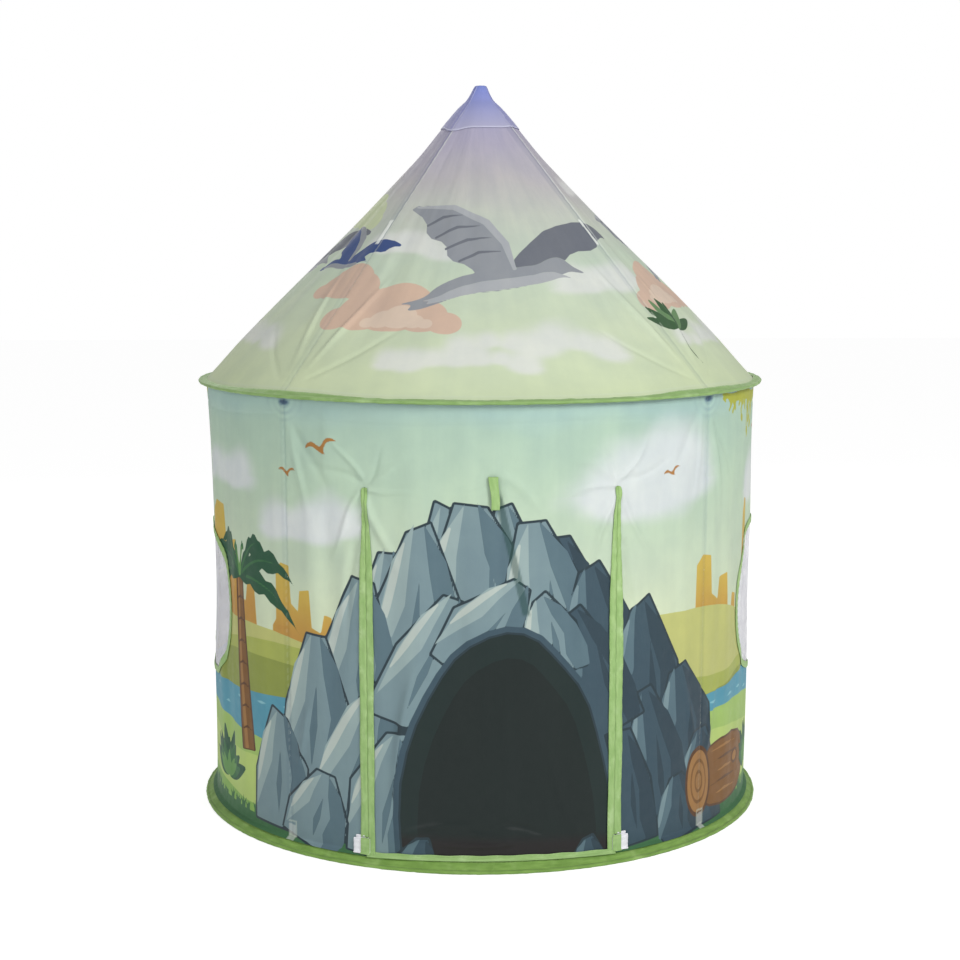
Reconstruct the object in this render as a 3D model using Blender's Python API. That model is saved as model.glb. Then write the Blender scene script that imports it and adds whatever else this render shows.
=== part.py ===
"""Kids play tent: a round printed cloth wall between two sprung hoops, under a pointed roof on four poles.

Units are metres, +Z is up and the doorway faces -Y. The ground is at z = 0 under the middle of the tent.
An azimuth is an angle round the tent in degrees: 0 is the middle of the door and +90 is the +X side.
"""
import math

import bmesh
import bpy
from mathutils import Vector

# Overall form
HOOP_RADIUS = 0.5213        # middle of the upper hoop's wire
HOOP_HEIGHT = 0.785
GROUND_HOOP_SPREAD = 0.0017  # by which the lower hoop is wider than the upper one
PEAK_HEIGHT = 1.3225        # where the roof's slope lines would meet
WALL_SETBACK = 0.0108       # from the upper hoop's wire in to the wall's top edge
FOOT_SETBACK = 0.0180       # from the lower hoop's wire in to the wall's foot
WALL_FOOT_HEIGHT = 0.0168
WAIST_DEPTH = 0.0075        # how far the wall is drawn in between two poles
POLE_TURN = 2.5             # degrees that the poles stand round from the door's middle

# Cloth, tape and clearances
CLOTH = 0.0010
TAPE = 0.0008
GAP = 0.0004
FOLD_DEPTH = 0.0035
ROOF_FOLD_DEPTH = 0.0022
ROOF_SAG = 0.0030

# Folds: waves round the tent, phase in radians and share of the depth
WALL_WAVE_SHARES = ((19, 0.8, 0.60), (31, 2.1, 0.40))
ROOF_WAVE_SHARES = ((17, 0.4, 0.55), (29, 1.9, 0.45))
FOLD_DRIFT = 1.6            # radians that the finer folds drift over the wall's height
WALL_STILL = (2.0, 9.0)     # degrees from a pole between which the folds grow from none to full
ROOF_STILL = (2.0, 12.0)
EDGE_STILL = (3.5, 9.0)     # the same from the doorway's edges
WAIST_SHARE_POWER = 1.3     # puts the waist a little above the middle of the wall
SAG_SHARE_POWER = 0.8       # keeps the roof's sag nearly level between its ends

# Hoop wire and its folded sleeve
WIRE_RADIUS = 0.00175
WIRE_PLAY = 0.00045
SLEEVE_SLIT = 0.0003
BRIM_WIDTH = 0.0150
BRIM_SLOPE = 32.0           # degrees: the brim lies flatter than the roof
REST_FLAT_DEPTH = 0.0005

# Poles, their joints and their cloth sleeves
POLE_RADIUS = 0.0025
POLE_SETBACK = 0.0050       # from the elbow's bend to each pole's end in it
SOCKET_RADIUS = 0.0029
FERRULE_RADIUS = 0.0039
FERRULE_LENGTH = 0.0650
FERRULE_FROM_HOOP = 0.3700  # along the roof pole, to the ferrule's middle
ELBOW_LEG = 0.0280
SLEEVE_RADIUS = 0.0049
POLE_INSET = 0.0061         # from the cloth's middle in to the pole's middle
POCKET_HEIGHT = 0.0440
POCKET_FLOOR = 0.0012
POCKET_LIFT = 0.0008
SLEEVE_MARGIN = 0.0020      # from a sleeve's end to the fitting next to it
HUB_RADIUS = 0.0270
HUB_WALL = 0.0040           # from the pole's middle out to the hub's face
HUB_SOCKET_END = 0.0085     # radius at which a pole bottoms out in the hub
HUB_NOSE_RADIUS = 0.0060

# Peak cap
CAP_RADIUS = 0.0745
CAP_CLEARANCE = 0.0006
CAP_NOSE_RADIUS = 0.0125
CAP_NOSE_DROP = 0.0085
CAP_TIP_SHARES = (0.35, 0.30)    # flat top, outside and inside, of the nose's radius
CAP_DOME_SHARES = (0.80, 0.70)   # ring a quarter of the way down the nose
CAP_BULGE_SHARE = 1.12           # widest ring of the nose
CAP_FLARE_SHARES = (1.30, 1.28)  # ring where the nose runs out into the slope, of nose and drop together
CAP_DOME_DROP_SHARE = 0.25
ROOF_TOP_RADIUS = 0.0500

# Doorway, door and edge binding
DOOR_WIDTH = 0.4350
DOOR_TOP = 0.6420
BINDING_WIDTH = 0.0110
DOOR_CLEARANCE = 0.0006
TAB_WIDTH = 0.0180
TAB_HEIGHT = 0.0290
TAB_FOOT = 0.0185
TAB_LAP = 0.0035            # how far a tab lies over the door's binding
PATCH_INSET = 0.0030
PATCH_RISE = 0.0050
STRAP_WIDTH = 0.0160
STRAP_TOP = 0.6640
STRAP_LENGTH = 0.0550
STRAP_SLIT = 0.0012
STRAP_STANDOFF = 0.0007
TIE_WIDTH = 0.0130
TIE_LENGTH = 0.2350
TIE_STANDOFF = 0.0060
TIE_SLANT = 0.0580          # sideways drift over the tie's length
TIE_LEAVE_SHARE = 0.25      # of the tie's length, over which it comes away from the door

# Side windows
WINDOW_RADIUS = 0.1400
WINDOW_HEIGHT = 0.3900
WINDOW_AZIMUTH = 80.0
NET = 0.0006
WINDOW_TAPE_WIDTH = 0.0120
CUTTER_REACH = 0.0600

# Counts
QUARTERS = 4
QUARTER = 360.0 / QUARTERS
WALL_COLUMNS = 24
WALL_ROWS = 8
ROOF_COLUMNS = 16
ROOF_ROWS = 7
TUBE_SIDES = 8
WIRE_SIDES = 5
POCKET_STEPS = 5
WINDOW_STEPS = 40
CAP_COLUMNS = 32
HUB_COLUMNS = 24

CORNER_NAMES = ("front_left", "front_right", "back_right", "back_left")
PANEL_NAMES = ("front", "right", "back", "left")

# Colours: red, green, blue, roughness, metallic
FINISHES = {
    "printed_cloth": (0.62, 0.74, 0.66, 0.85, 0.0),
    "roof_cloth": (0.66, 0.72, 0.68, 0.85, 0.0),
    "cap_cloth": (0.45, 0.50, 0.74, 0.85, 0.0),
    "green_tape": (0.36, 0.52, 0.16, 0.80, 0.0),
    "inner_cloth": (0.72, 0.76, 0.72, 0.85, 0.0),
    "white_tape": (0.86, 0.86, 0.88, 0.80, 0.0),
    "white_net": (0.80, 0.80, 0.83, 0.90, 0.0),
    "white_plastic": (0.85, 0.86, 0.86, 0.45, 0.0),
    "grey_pole": (0.45, 0.46, 0.48, 0.40, 0.0),
    "spring_steel": (0.55, 0.55, 0.57, 0.35, 1.0),
}

WALL_TOP_RADIUS = HOOP_RADIUS - WALL_SETBACK
GROUND_HOOP_RADIUS = HOOP_RADIUS + GROUND_HOOP_SPREAD
WALL_FOOT_RADIUS = GROUND_HOOP_RADIUS - FOOT_SETBACK
BRIM_LEAN = math.radians(BRIM_SLOPE)
RIM_RADIUS = HOOP_RADIUS - BRIM_WIDTH * math.cos(BRIM_LEAN)
RIM_HEIGHT = HOOP_HEIGHT + BRIM_WIDTH * math.sin(BRIM_LEAN)
ROOF_RISE = PEAK_HEIGHT - RIM_HEIGHT
ROOF_SLANT = math.hypot(RIM_RADIUS, ROOF_RISE)
SLOPE = math.atan2(ROOF_RISE, RIM_RADIUS)
POCKET_RADIUS = WIRE_RADIUS + WIRE_PLAY
SLEEVE_OUTER = POCKET_RADIUS + TAPE
BRIM_HALF = SLEEVE_SLIT / 2 + TAPE
FACET_SHARE = 1 - math.cos(math.radians(QUARTER / ROOF_COLUMNS / 2))
DOOR_HALF_ANGLE = math.degrees(DOOR_WIDTH / 2 / WALL_TOP_RADIUS)
WRAP = GAP + TAPE           # how far a binding reaches past the cloth's edge


def clear_scene():
    for old in list(bpy.data.objects):
        bpy.data.objects.remove(old, do_unlink=True)


def finish(name):
    """The material of one finish, made once."""
    found = bpy.data.materials.get(name)
    if found:
        return found
    red, green, blue, roughness, metallic = FINISHES[name]
    material = bpy.data.materials.new(name)
    material.use_nodes = True
    shader = material.node_tree.nodes["Principled BSDF"]
    shader.inputs["Base Color"].default_value = (red, green, blue, 1.0)
    shader.inputs["Roughness"].default_value = roughness
    shader.inputs["Metallic"].default_value = metallic
    material.diffuse_color = (red, green, blue, 1.0)
    return material


def add_object(name, bm, look, smooth_angle=40.0):
    bmesh.ops.recalc_face_normals(bm, faces=bm.faces)
    mesh = bpy.data.meshes.new(name)
    bm.to_mesh(mesh)
    bm.free()
    mesh.shade_smooth()
    mesh.set_sharp_from_angle(angle=math.radians(smooth_angle))
    mesh.materials.append(finish(look))
    made = bpy.data.objects.new(name, mesh)
    bpy.context.scene.collection.objects.link(made)
    return made


def polar(azimuth, radius, height):
    turn = math.radians(azimuth)
    return Vector((radius * math.sin(turn), -radius * math.cos(turn), height))


def smooth_share(value, low, high):
    share = min(max((value - low) / (high - low), 0.0), 1.0)
    return share * share * (3 - 2 * share)


def pole_azimuths():
    return [POLE_TURN - QUARTER / 2 + QUARTER * corner for corner in range(QUARTERS)]


def from_nearest_pole(azimuth):
    """Degrees from the nearest pole."""
    offset = (azimuth - POLE_TURN + QUARTER / 2) % QUARTER
    return min(offset, QUARTER - offset)


# The wall's surface

def wall_top_height():
    """Just under the brim, measured where the wall's outer face meets it."""
    in_from_hoop = HOOP_RADIUS * (1 - FACET_SHARE) - WALL_TOP_RADIUS - CLOTH / 2
    under_brim = HOOP_HEIGHT + in_from_hoop * math.tan(BRIM_LEAN) - BRIM_HALF / math.cos(BRIM_LEAN)
    return under_brim - GAP


def waves(turn, wave_shares, drift=0.0):
    """A broad wave and a finer one, which drifts."""
    (broad, broad_phase, broad_share), (fine, fine_phase, fine_share) = wave_shares
    return broad_share * math.sin(broad * turn + broad_phase) + fine_share * math.sin(
        fine * turn + fine_phase + drift
    )


def fold_share(azimuth, height_share):
    """Soft upright folds that die out at the poles, the door's edges and both hoops."""
    still = smooth_share(from_nearest_pole(azimuth), *WALL_STILL)
    from_edge = abs(abs((azimuth + 180) % 360 - 180) - DOOR_HALF_ANGLE)
    still *= smooth_share(from_edge, *EDGE_STILL)
    turn = math.radians(azimuth)
    wave = waves(turn, WALL_WAVE_SHARES, FOLD_DRIFT * height_share)
    return wave * still * math.sin(math.pi * height_share)


def wall_radius(azimuth, height):
    share = (height - WALL_FOOT_HEIGHT) / (wall_top_height() - WALL_FOOT_HEIGHT)
    share = min(max(share, 0.0), 1.0)
    upright = WALL_FOOT_RADIUS + (WALL_TOP_RADIUS - WALL_FOOT_RADIUS) * share
    between_poles = math.cos(2 * math.radians(azimuth - POLE_TURN)) ** 2
    drawn_in = WAIST_DEPTH * between_poles * math.sin(math.pi * share ** WAIST_SHARE_POWER)
    return upright - drawn_in + FOLD_DEPTH * fold_share(azimuth, share)


def wall_point(azimuth, height, offset=0.0):
    return polar(azimuth, wall_radius(azimuth, height) + offset, height)


def arc_degrees(length):
    """The angle that a length along the wall takes up."""
    return math.degrees(length / WALL_TOP_RADIUS)


# The roof's surface

def roof_point(azimuth, slant, offset=0.0):
    """A point at a distance up the slope from the brim's inner edge."""
    share = min(max(slant / ROOF_SLANT, 0.0), 1.0)
    still = smooth_share(from_nearest_pole(azimuth), *ROOF_STILL)
    hang = math.sin(math.pi * share) ** SAG_SHARE_POWER
    wave = waves(math.radians(azimuth), ROOF_WAVE_SHARES)
    out = offset + still * hang * (ROOF_FOLD_DEPTH * wave - ROOF_SAG)
    radius = RIM_RADIUS - slant * math.cos(SLOPE) + out * math.sin(SLOPE)
    return polar(azimuth, radius, RIM_HEIGHT + slant * math.sin(SLOPE) + out * math.cos(SLOPE))


# Building blocks

def sheet(name, azimuths, levels, place, thickness, look, keep=None):
    """A cloth panel: a grid laid on a surface and given its thickness."""
    bm = bmesh.new()
    columns, rows = len(azimuths) - 1, len(levels) - 1
    bmesh.ops.create_grid(bm, x_segments=columns, y_segments=rows, size=1.0)
    for vert in bm.verts:
        column = round((vert.co.x + 1) / 2 * columns)
        row = round((vert.co.y + 1) / 2 * rows)
        vert.co = (azimuths[column], levels[row], 0.0)
    if keep:
        unwanted = [face for face in bm.faces if not keep(face.calc_center_median())]
        bmesh.ops.delete(bm, geom=unwanted, context="FACES")
    for vert in bm.verts:
        vert.co = place(vert.co.x, vert.co.y)
    made = add_object(name, bm, look)
    thicken = made.modifiers.new("Cloth thickness", "SOLIDIFY")
    thicken.thickness = thickness
    thicken.offset = 0.0
    thicken.use_even_offset = True
    return made


def loft(name, rings, look, closed=False, smooth_angle=40.0):
    """A skin over a row of rings, capped at its ends unless it closes on itself."""
    bm = bmesh.new()
    loops = [[bm.verts.new(point) for point in ring] for ring in rings]
    pairs = list(zip(loops, loops[1:]))
    if closed:
        pairs.append((loops[-1], loops[0]))
    for low, high in pairs:
        for here in range(len(low)):
            after = (here + 1) % len(low)
            bm.faces.new((low[here], low[after], high[after], high[here]))
    if not closed:
        bm.faces.new(list(reversed(loops[0])))
        bm.faces.new(loops[-1])
    return add_object(name, bm, look, smooth_angle)


def turned(name, profile, columns, look, smooth_angle=40.0):
    """A closed outline of radius and height pairs, turned round the tent's middle."""
    azimuths = [POLE_TURN + 360.0 * step / columns for step in range(columns)]
    rings = [[polar(azimuth, radius, height) for radius, height in profile] for azimuth in azimuths]
    return loft(name, rings, look, closed=True, smooth_angle=smooth_angle)


def circle_ring(centre, along, radius, sides=TUBE_SIDES):
    """Points round an axis, with the first towards the tent's outside."""
    along = along.normalized()
    across = Vector((0, 0, 1)).cross(centre) if centre.xy.length > GAP else Vector((1, 0, 0))
    across.normalize()
    outward = across.cross(along)
    return [
        centre + radius * (math.cos(turn) * outward + math.sin(turn) * across)
        for turn in (2 * math.pi * (side + 0.5) / sides for side in range(sides))
    ]


def path_rings(path, radius):
    rings = []
    for here, point in enumerate(path):
        before = path[max(here - 1, 0)]
        after = path[min(here + 1, len(path) - 1)]
        rings.append(circle_ring(point, after - before, radius))
    return rings


def rod(name, start, end, radius, look):
    return loft(name, path_rings([start, end], radius), look)


def tube(name, path, outer, inner, look):
    """An open-ended tube along a path."""
    rings = path_rings(path, outer) + path_rings(path, inner)[::-1]
    return loft(name, rings, look, closed=True)


def cup(name, path, outer, inner, floor, look):
    """A tube with a closed foot at the path's start."""
    along = (path[-1] - path[0]).normalized()
    inner_path = [path[0] + along * floor] + list(path[1:])
    rings = path_rings(path, outer) + path_rings(inner_path, inner)[::-1]
    return loft(name, rings, look)


def cutter(name, azimuth, height, radius):
    """A cylinder that points outwards through the wall. It shapes other pieces and isn't one itself."""
    bm = bmesh.new()
    bmesh.ops.create_cone(
        bm, cap_ends=True, segments=WINDOW_STEPS, radius1=radius, radius2=radius, depth=2 * CUTTER_REACH
    )
    made = add_object(name, bm, "white_net")
    outward = polar(azimuth, radius, 0.0)
    made.rotation_euler = outward.to_track_quat("Z", "Y").to_euler()
    made.location = polar(azimuth, wall_radius(azimuth, height), height)
    made.hide_render = True
    made.display_type = "WIRE"
    return made


def carve(piece, tool, operation):
    cut = piece.modifiers.new(operation.title(), "BOOLEAN")
    cut.operation = operation
    cut.solver = "EXACT"
    cut.object = tool


# Hoops

def folded_tape(centre, legs_towards, leg_length, flat=False):
    """Outline of a tape folded round a wire: two legs that lie together and a round pocket at the fold."""
    lean = math.atan2(legs_towards[1], legs_towards[0])
    leave_outer = math.asin(BRIM_HALF / SLEEVE_OUTER)
    leave_inner = math.asin(SLEEVE_SLIT / 2 / POCKET_RADIUS)

    def spot(along, across):
        return (
            centre[0] + along * math.cos(lean) - across * math.sin(lean),
            centre[1] + along * math.sin(lean) + across * math.cos(lean),
        )

    def arc(radius, leave, extra=()):
        span = 2 * math.pi - 2 * leave
        turns = [leave + span * step / POCKET_STEPS for step in range(POCKET_STEPS + 1)]
        turns = sorted(turns + [turn for turn in extra if leave < turn < leave + span])
        return [spot(radius * math.cos(turn), radius * math.sin(turn)) for turn in turns]

    flat_turns = ()
    if flat:
        half = math.acos((SLEEVE_OUTER - REST_FLAT_DEPTH) / SLEEVE_OUTER)
        down = (3 * math.pi / 2 - lean) % (2 * math.pi)
        flat_turns = (down - half, down + half)
    outer = arc(SLEEVE_OUTER, leave_outer, flat_turns)
    if flat:
        ground = centre[1] - SLEEVE_OUTER + REST_FLAT_DEPTH
        outer = [(radius, max(height, ground)) for radius, height in outer]
    inner = arc(POCKET_RADIUS, leave_inner)
    return (
        [spot(leg_length, BRIM_HALF)]
        + outer
        + [spot(leg_length, -BRIM_HALF), spot(leg_length, -SLEEVE_SLIT / 2)]
        + inner[::-1]
        + [spot(leg_length, SLEEVE_SLIT / 2)]
    )


def hoop_wire(name, centre):
    profile = [
        (centre[0] + WIRE_RADIUS * math.cos(turn), centre[1] + WIRE_RADIUS * math.sin(turn))
        for turn in (2 * math.pi * side / WIRE_SIDES for side in range(WIRE_SIDES))
    ]
    turned(name, profile, QUARTERS * ROOF_COLUMNS, "spring_steel")


def hoops():
    columns = QUARTERS * ROOF_COLUMNS
    upper = (HOOP_RADIUS, HOOP_HEIGHT)
    hoop_wire("upper_hoop_wire", upper)
    up_the_brim = (-math.cos(BRIM_LEAN), math.sin(BRIM_LEAN))
    turned("upper_hoop_sleeve", folded_tape(upper, up_the_brim, BRIM_WIDTH), columns, "green_tape")

    # The lower sleeve's legs lean in so that their upper corner comes one gap under the wall's edge.
    lower = (GROUND_HOOP_RADIUS, SLEEVE_OUTER - REST_FLAT_DEPTH)
    hoop_wire("lower_hoop_wire", lower)
    run = WALL_FOOT_RADIUS - lower[0]
    rise = WALL_FOOT_HEIGHT - GAP - lower[1]
    reach = math.hypot(run, rise)
    lean = math.atan2(rise, run) + math.asin(BRIM_HALF / reach)
    legs = math.sqrt(reach ** 2 - BRIM_HALF ** 2)
    towards = (math.cos(lean), math.sin(lean))
    turned("lower_hoop_sleeve", folded_tape(lower, towards, legs, flat=True), columns, "green_tape")


# Walls and roof

def panel_azimuths(quarter, columns):
    start = pole_azimuths()[quarter]
    edge = arc_degrees(GAP)
    span = QUARTER - 2 * edge
    return [start + edge + span * column / columns for column in range(columns + 1)]


def levels(low, high, rows):
    return [low + (high - low) * row / rows for row in range(rows + 1)]


def with_stops(values, stops, least):
    """Puts stops among evenly spread values, in place of any value that lies too near one."""
    kept = [value for value in values if all(abs(value - stop) > least for stop in stops)]
    return sorted(kept + list(stops))


def wall_levels():
    return levels(WALL_FOOT_HEIGHT, wall_top_height(), WALL_ROWS)


def front_wall():
    azimuths = panel_azimuths(0, WALL_COLUMNS)
    azimuths = with_stops(azimuths, (-DOOR_HALF_ANGLE, DOOR_HALF_ANGLE), arc_degrees(BINDING_WIDTH))
    head = DOOR_TOP + GAP
    heights = with_stops(wall_levels(), (head,), BINDING_WIDTH)

    def outside_doorway(middle):
        return abs(middle.x) > DOOR_HALF_ANGLE or middle.y > head

    sheet("front_wall", azimuths, heights, wall_point, CLOTH, "printed_cloth", keep=outside_doorway)


def plain_wall(name, quarter):
    return sheet(name, panel_azimuths(quarter, WALL_COLUMNS), wall_levels(), wall_point, CLOTH, "printed_cloth")


def window_cell_range(quarter, middle, reach):
    """The wall's own columns and rows that surround a window, so that its pieces share the wall's facets."""
    azimuths = panel_azimuths(quarter, WALL_COLUMNS)
    heights = wall_levels()
    across = math.degrees(reach / (WALL_FOOT_RADIUS - WAIST_DEPTH))
    left = max(here for here, azimuth in enumerate(azimuths) if azimuth < middle - across)
    right = min(here for here, azimuth in enumerate(azimuths) if azimuth > middle + across)
    low = max(here for here, height in enumerate(heights) if height < WINDOW_HEIGHT - reach)
    high = min(here for here, height in enumerate(heights) if height > WINDOW_HEIGHT + reach)
    return azimuths[left:right + 1], heights[low:high + 1]


def side_wall(side, quarter, azimuth):
    """A wall panel with a round window: net in the hole and a tape sewn over its edge."""
    wall = plain_wall(f"{side}_wall", quarter)
    carve(wall, cutter(f"{side}_window_cut", azimuth, WINDOW_HEIGHT, WINDOW_RADIUS), "DIFFERENCE")

    half_tape = WINDOW_TAPE_WIDTH / 2
    azimuths, heights = window_cell_range(quarter, azimuth, WINDOW_RADIUS + half_tape)
    net = sheet(f"{side}_window_net", azimuths, heights, wall_point, NET, "white_net")
    carve(net, cutter(f"{side}_net_edge", azimuth, WINDOW_HEIGHT, WINDOW_RADIUS - GAP), "INTERSECT")

    lift = CLOTH / 2 + GAP + TAPE / 2

    def over_wall(along, height):
        return wall_point(along, height, lift)

    tape = sheet(f"{side}_window_binding", azimuths, heights, over_wall, TAPE, "green_tape")
    outer = cutter(f"{side}_tape_outer_edge", azimuth, WINDOW_HEIGHT, WINDOW_RADIUS + half_tape)
    inner = cutter(f"{side}_tape_inner_edge", azimuth, WINDOW_HEIGHT, WINDOW_RADIUS - half_tape)
    carve(tape, outer, "INTERSECT")
    carve(tape, inner, "DIFFERENCE")


def roof():
    low = GAP + CLOTH / 2
    high = ROOF_SLANT - ROOF_TOP_RADIUS / math.cos(SLOPE)
    slants = levels(low, high, ROOF_ROWS)
    for start, side in zip(pole_azimuths(), PANEL_NAMES):

        def place(across, slant, start=start):
            radius = RIM_RADIUS - slant * math.cos(SLOPE)
            edge = math.degrees(GAP / radius)
            return roof_point(start + edge + (QUARTER - 2 * edge) * across, slant)

        sheet(f"{side}_roof", levels(0.0, 1.0, ROOF_COLUMNS), slants, place, CLOTH, "roof_cloth")


def slope_height(radius, offset):
    """Height at a radius on a cone that lies an offset outside the roof's slope line."""
    return PEAK_HEIGHT - radius * math.tan(SLOPE) + offset / math.cos(SLOPE)


def apex_cap():
    inner = CLOTH / 2 + CAP_CLEARANCE
    outer = inner + CLOTH
    tip_out, tip_in = (CAP_NOSE_RADIUS * share for share in CAP_TIP_SHARES)
    dome_out, dome_in = (CAP_NOSE_RADIUS * share for share in CAP_DOME_SHARES)
    flare_out, flare_in = ((CAP_NOSE_RADIUS + CAP_NOSE_DROP) * share for share in CAP_FLARE_SHARES)
    dome_height = PEAK_HEIGHT - CAP_NOSE_DROP * CAP_DOME_DROP_SHARE
    nose_foot = PEAK_HEIGHT - CAP_NOSE_DROP
    outside = [
        (tip_out, PEAK_HEIGHT),
        (dome_out, dome_height),
        (CAP_NOSE_RADIUS * CAP_BULGE_SHARE, nose_foot),
        (flare_out, slope_height(flare_out, outer)),
        (CAP_RADIUS, slope_height(CAP_RADIUS, outer)),
    ]
    inside = [
        (CAP_RADIUS, slope_height(CAP_RADIUS, inner)),
        (flare_in, slope_height(flare_in, inner)),
        (CAP_NOSE_RADIUS, nose_foot - CLOTH),
        (dome_in, dome_height - CLOTH),
        (tip_in, PEAK_HEIGHT - CLOTH),
    ]
    azimuths = [POLE_TURN + 360.0 * step / CAP_COLUMNS for step in range(CAP_COLUMNS)]
    rings = [[polar(azimuth, radius, height) for azimuth in azimuths] for radius, height in outside + inside]
    loft("apex_cap", rings, "cap_cloth")


# Poles

def pole_line(azimuth, slant):
    return roof_point(azimuth, slant, -POLE_INSET)


def corner_point(azimuth):
    """Where a wall pole's line meets its roof pole's line."""
    radius = WALL_TOP_RADIUS - POLE_INSET
    slant = (RIM_RADIUS - radius - POLE_INSET * math.sin(SLOPE)) / math.cos(SLOPE)
    return pole_line(azimuth, slant), slant


def foot_point(azimuth):
    return polar(azimuth, WALL_FOOT_RADIUS - POLE_INSET, POCKET_LIFT)


def pole_set(corner, azimuth):
    """One corner: wall pole, elbow, two roof poles with a ferrule between them, and their cloth."""
    bend, bend_slant = corner_point(azimuth)
    foot = foot_point(azimuth)
    upward = (bend - foot).normalized()
    hub_slant = ROOF_SLANT - (HUB_SOCKET_END + POLE_INSET * math.sin(SLOPE)) / math.cos(SLOPE)
    peak_end = pole_line(azimuth, hub_slant)
    inward = (peak_end - bend).normalized()
    middle = bend + inward * FERRULE_FROM_HOOP

    pole_foot = foot + upward * (POCKET_FLOOR + GAP)
    rod(f"wall_pole_{corner}", pole_foot, bend - upward * POLE_SETBACK, POLE_RADIUS, "grey_pole")
    lower_start = bend + inward * POLE_SETBACK
    rod(f"roof_pole_lower_{corner}", lower_start, middle - inward * GAP / 2, POLE_RADIUS, "grey_pole")
    rod(f"roof_pole_upper_{corner}", middle + inward * GAP / 2, peak_end, POLE_RADIUS, "grey_pole")

    half = FERRULE_LENGTH / 2
    ends = [middle - inward * half, middle + inward * half]
    tube(f"pole_ferrule_{corner}", ends, FERRULE_RADIUS, SOCKET_RADIUS, "white_plastic")
    leg_low = bend - upward * ELBOW_LEG
    leg_high = bend + inward * ELBOW_LEG
    soften = FERRULE_RADIUS
    bent = [leg_low, bend - upward * soften, bend + inward * soften, leg_high]
    tube(f"pole_elbow_{corner}", bent, FERRULE_RADIUS, SOCKET_RADIUS, "white_plastic")

    pocket = [foot, foot + upward * POCKET_HEIGHT]
    cup(f"foot_pocket_{corner}", pocket, SLEEVE_RADIUS, SOCKET_RADIUS, POCKET_FLOOR, "inner_cloth")
    sleeve_inner = FERRULE_RADIUS + GAP
    sleeve_ends = [pocket[-1] + upward * SLEEVE_MARGIN, leg_low - upward * SLEEVE_MARGIN]
    tube(f"wall_sleeve_{corner}", sleeve_ends, SLEEVE_RADIUS, sleeve_inner, "inner_cloth")
    hub_rim = bend + inward * ((RIM_RADIUS - HUB_RADIUS) / math.cos(SLOPE) - bend_slant)
    roof_ends = [leg_high + inward * SLEEVE_MARGIN, hub_rim - inward * (SLEEVE_RADIUS + SLEEVE_MARGIN)]
    tube(f"roof_sleeve_{corner}", roof_ends, SLEEVE_RADIUS, sleeve_inner, "inner_cloth")
    return peak_end, inward


def apex_hub(sockets):
    """A conical hub under the peak with a blind socket for each roof pole."""
    over = HUB_WALL - POLE_INSET
    under = -HUB_WALL - POLE_INSET
    profile = [
        (HUB_NOSE_RADIUS, slope_height(HUB_NOSE_RADIUS, over)),
        (HUB_RADIUS, slope_height(HUB_RADIUS, over)),
        (HUB_RADIUS - HUB_WALL, slope_height(HUB_RADIUS - HUB_WALL, under)),
        (HUB_NOSE_RADIUS, slope_height(HUB_NOSE_RADIUS, under)),
    ]
    azimuths = [POLE_TURN + 360.0 * step / HUB_COLUMNS for step in range(HUB_COLUMNS)]
    rings = [[polar(azimuth, radius, height) for azimuth in azimuths] for radius, height in profile]
    hub = loft("apex_hub", rings, "white_plastic")
    for corner, (end, inward) in zip(CORNER_NAMES, sockets):
        mouth = end - inward * CUTTER_REACH
        tool = rod(f"hub_socket_{corner}", mouth, end + inward * GAP, SOCKET_RADIUS, "white_plastic")
        tool.hide_render = True
        tool.display_type = "WIRE"
        carve(hub, tool, "DIFFERENCE")


def poles():
    sockets = [pole_set(corner, azimuth) for corner, azimuth in zip(CORNER_NAMES, pole_azimuths())]
    apex_hub(sockets)


# Doorway

def bound_edge(name, stops, parent=None):
    """A tape folded over a cloth edge. Each stop is an azimuth, a height and the way out of the cloth."""
    face = CLOTH / 2 + GAP
    back = face + TAPE
    profile = [
        (-BINDING_WIDTH, back), (WRAP, back), (WRAP, -back), (-BINDING_WIDTH, -back),
        (-BINDING_WIDTH, -face), (GAP, -face), (GAP, face), (-BINDING_WIDTH, face),
    ]
    rings = []
    for azimuth, height, way in stops:
        ring = []
        for along, offset in profile:
            side = azimuth + arc_degrees(along * way[0])
            ring.append(wall_point(side, height + along * way[1], offset))
        rings.append(ring)
    hang_on(loft(name, rings, "green_tape"), parent)


def hang_on(piece, parent):
    """Makes a piece a child of an empty without moving it."""
    if parent:
        piece.parent = parent
        piece.matrix_parent_inverse = parent.matrix_world.inverted()


def pivot(name, place):
    marker = bpy.data.objects.new(name, None)
    marker.location = place
    marker.empty_display_size = STRAP_WIDTH
    bpy.context.scene.collection.objects.link(marker)
    bpy.context.view_layer.update()
    return marker


def slit_bindings():
    """The bound edges of the wall beside the doorway. They end above the tabs."""
    foot = TAB_FOOT + TAB_HEIGHT + PATCH_RISE + GAP
    top = DOOR_TOP - GAP
    heights = with_stops([height for height in wall_levels() if foot < height < top], (foot, top), BINDING_WIDTH)
    for side, sign in (("left", -1), ("right", 1)):
        stops = [(sign * DOOR_HALF_ANGLE, height, (-sign, 0.0)) for height in heights]
        bound_edge(f"{side}_slit_binding", stops)


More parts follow.
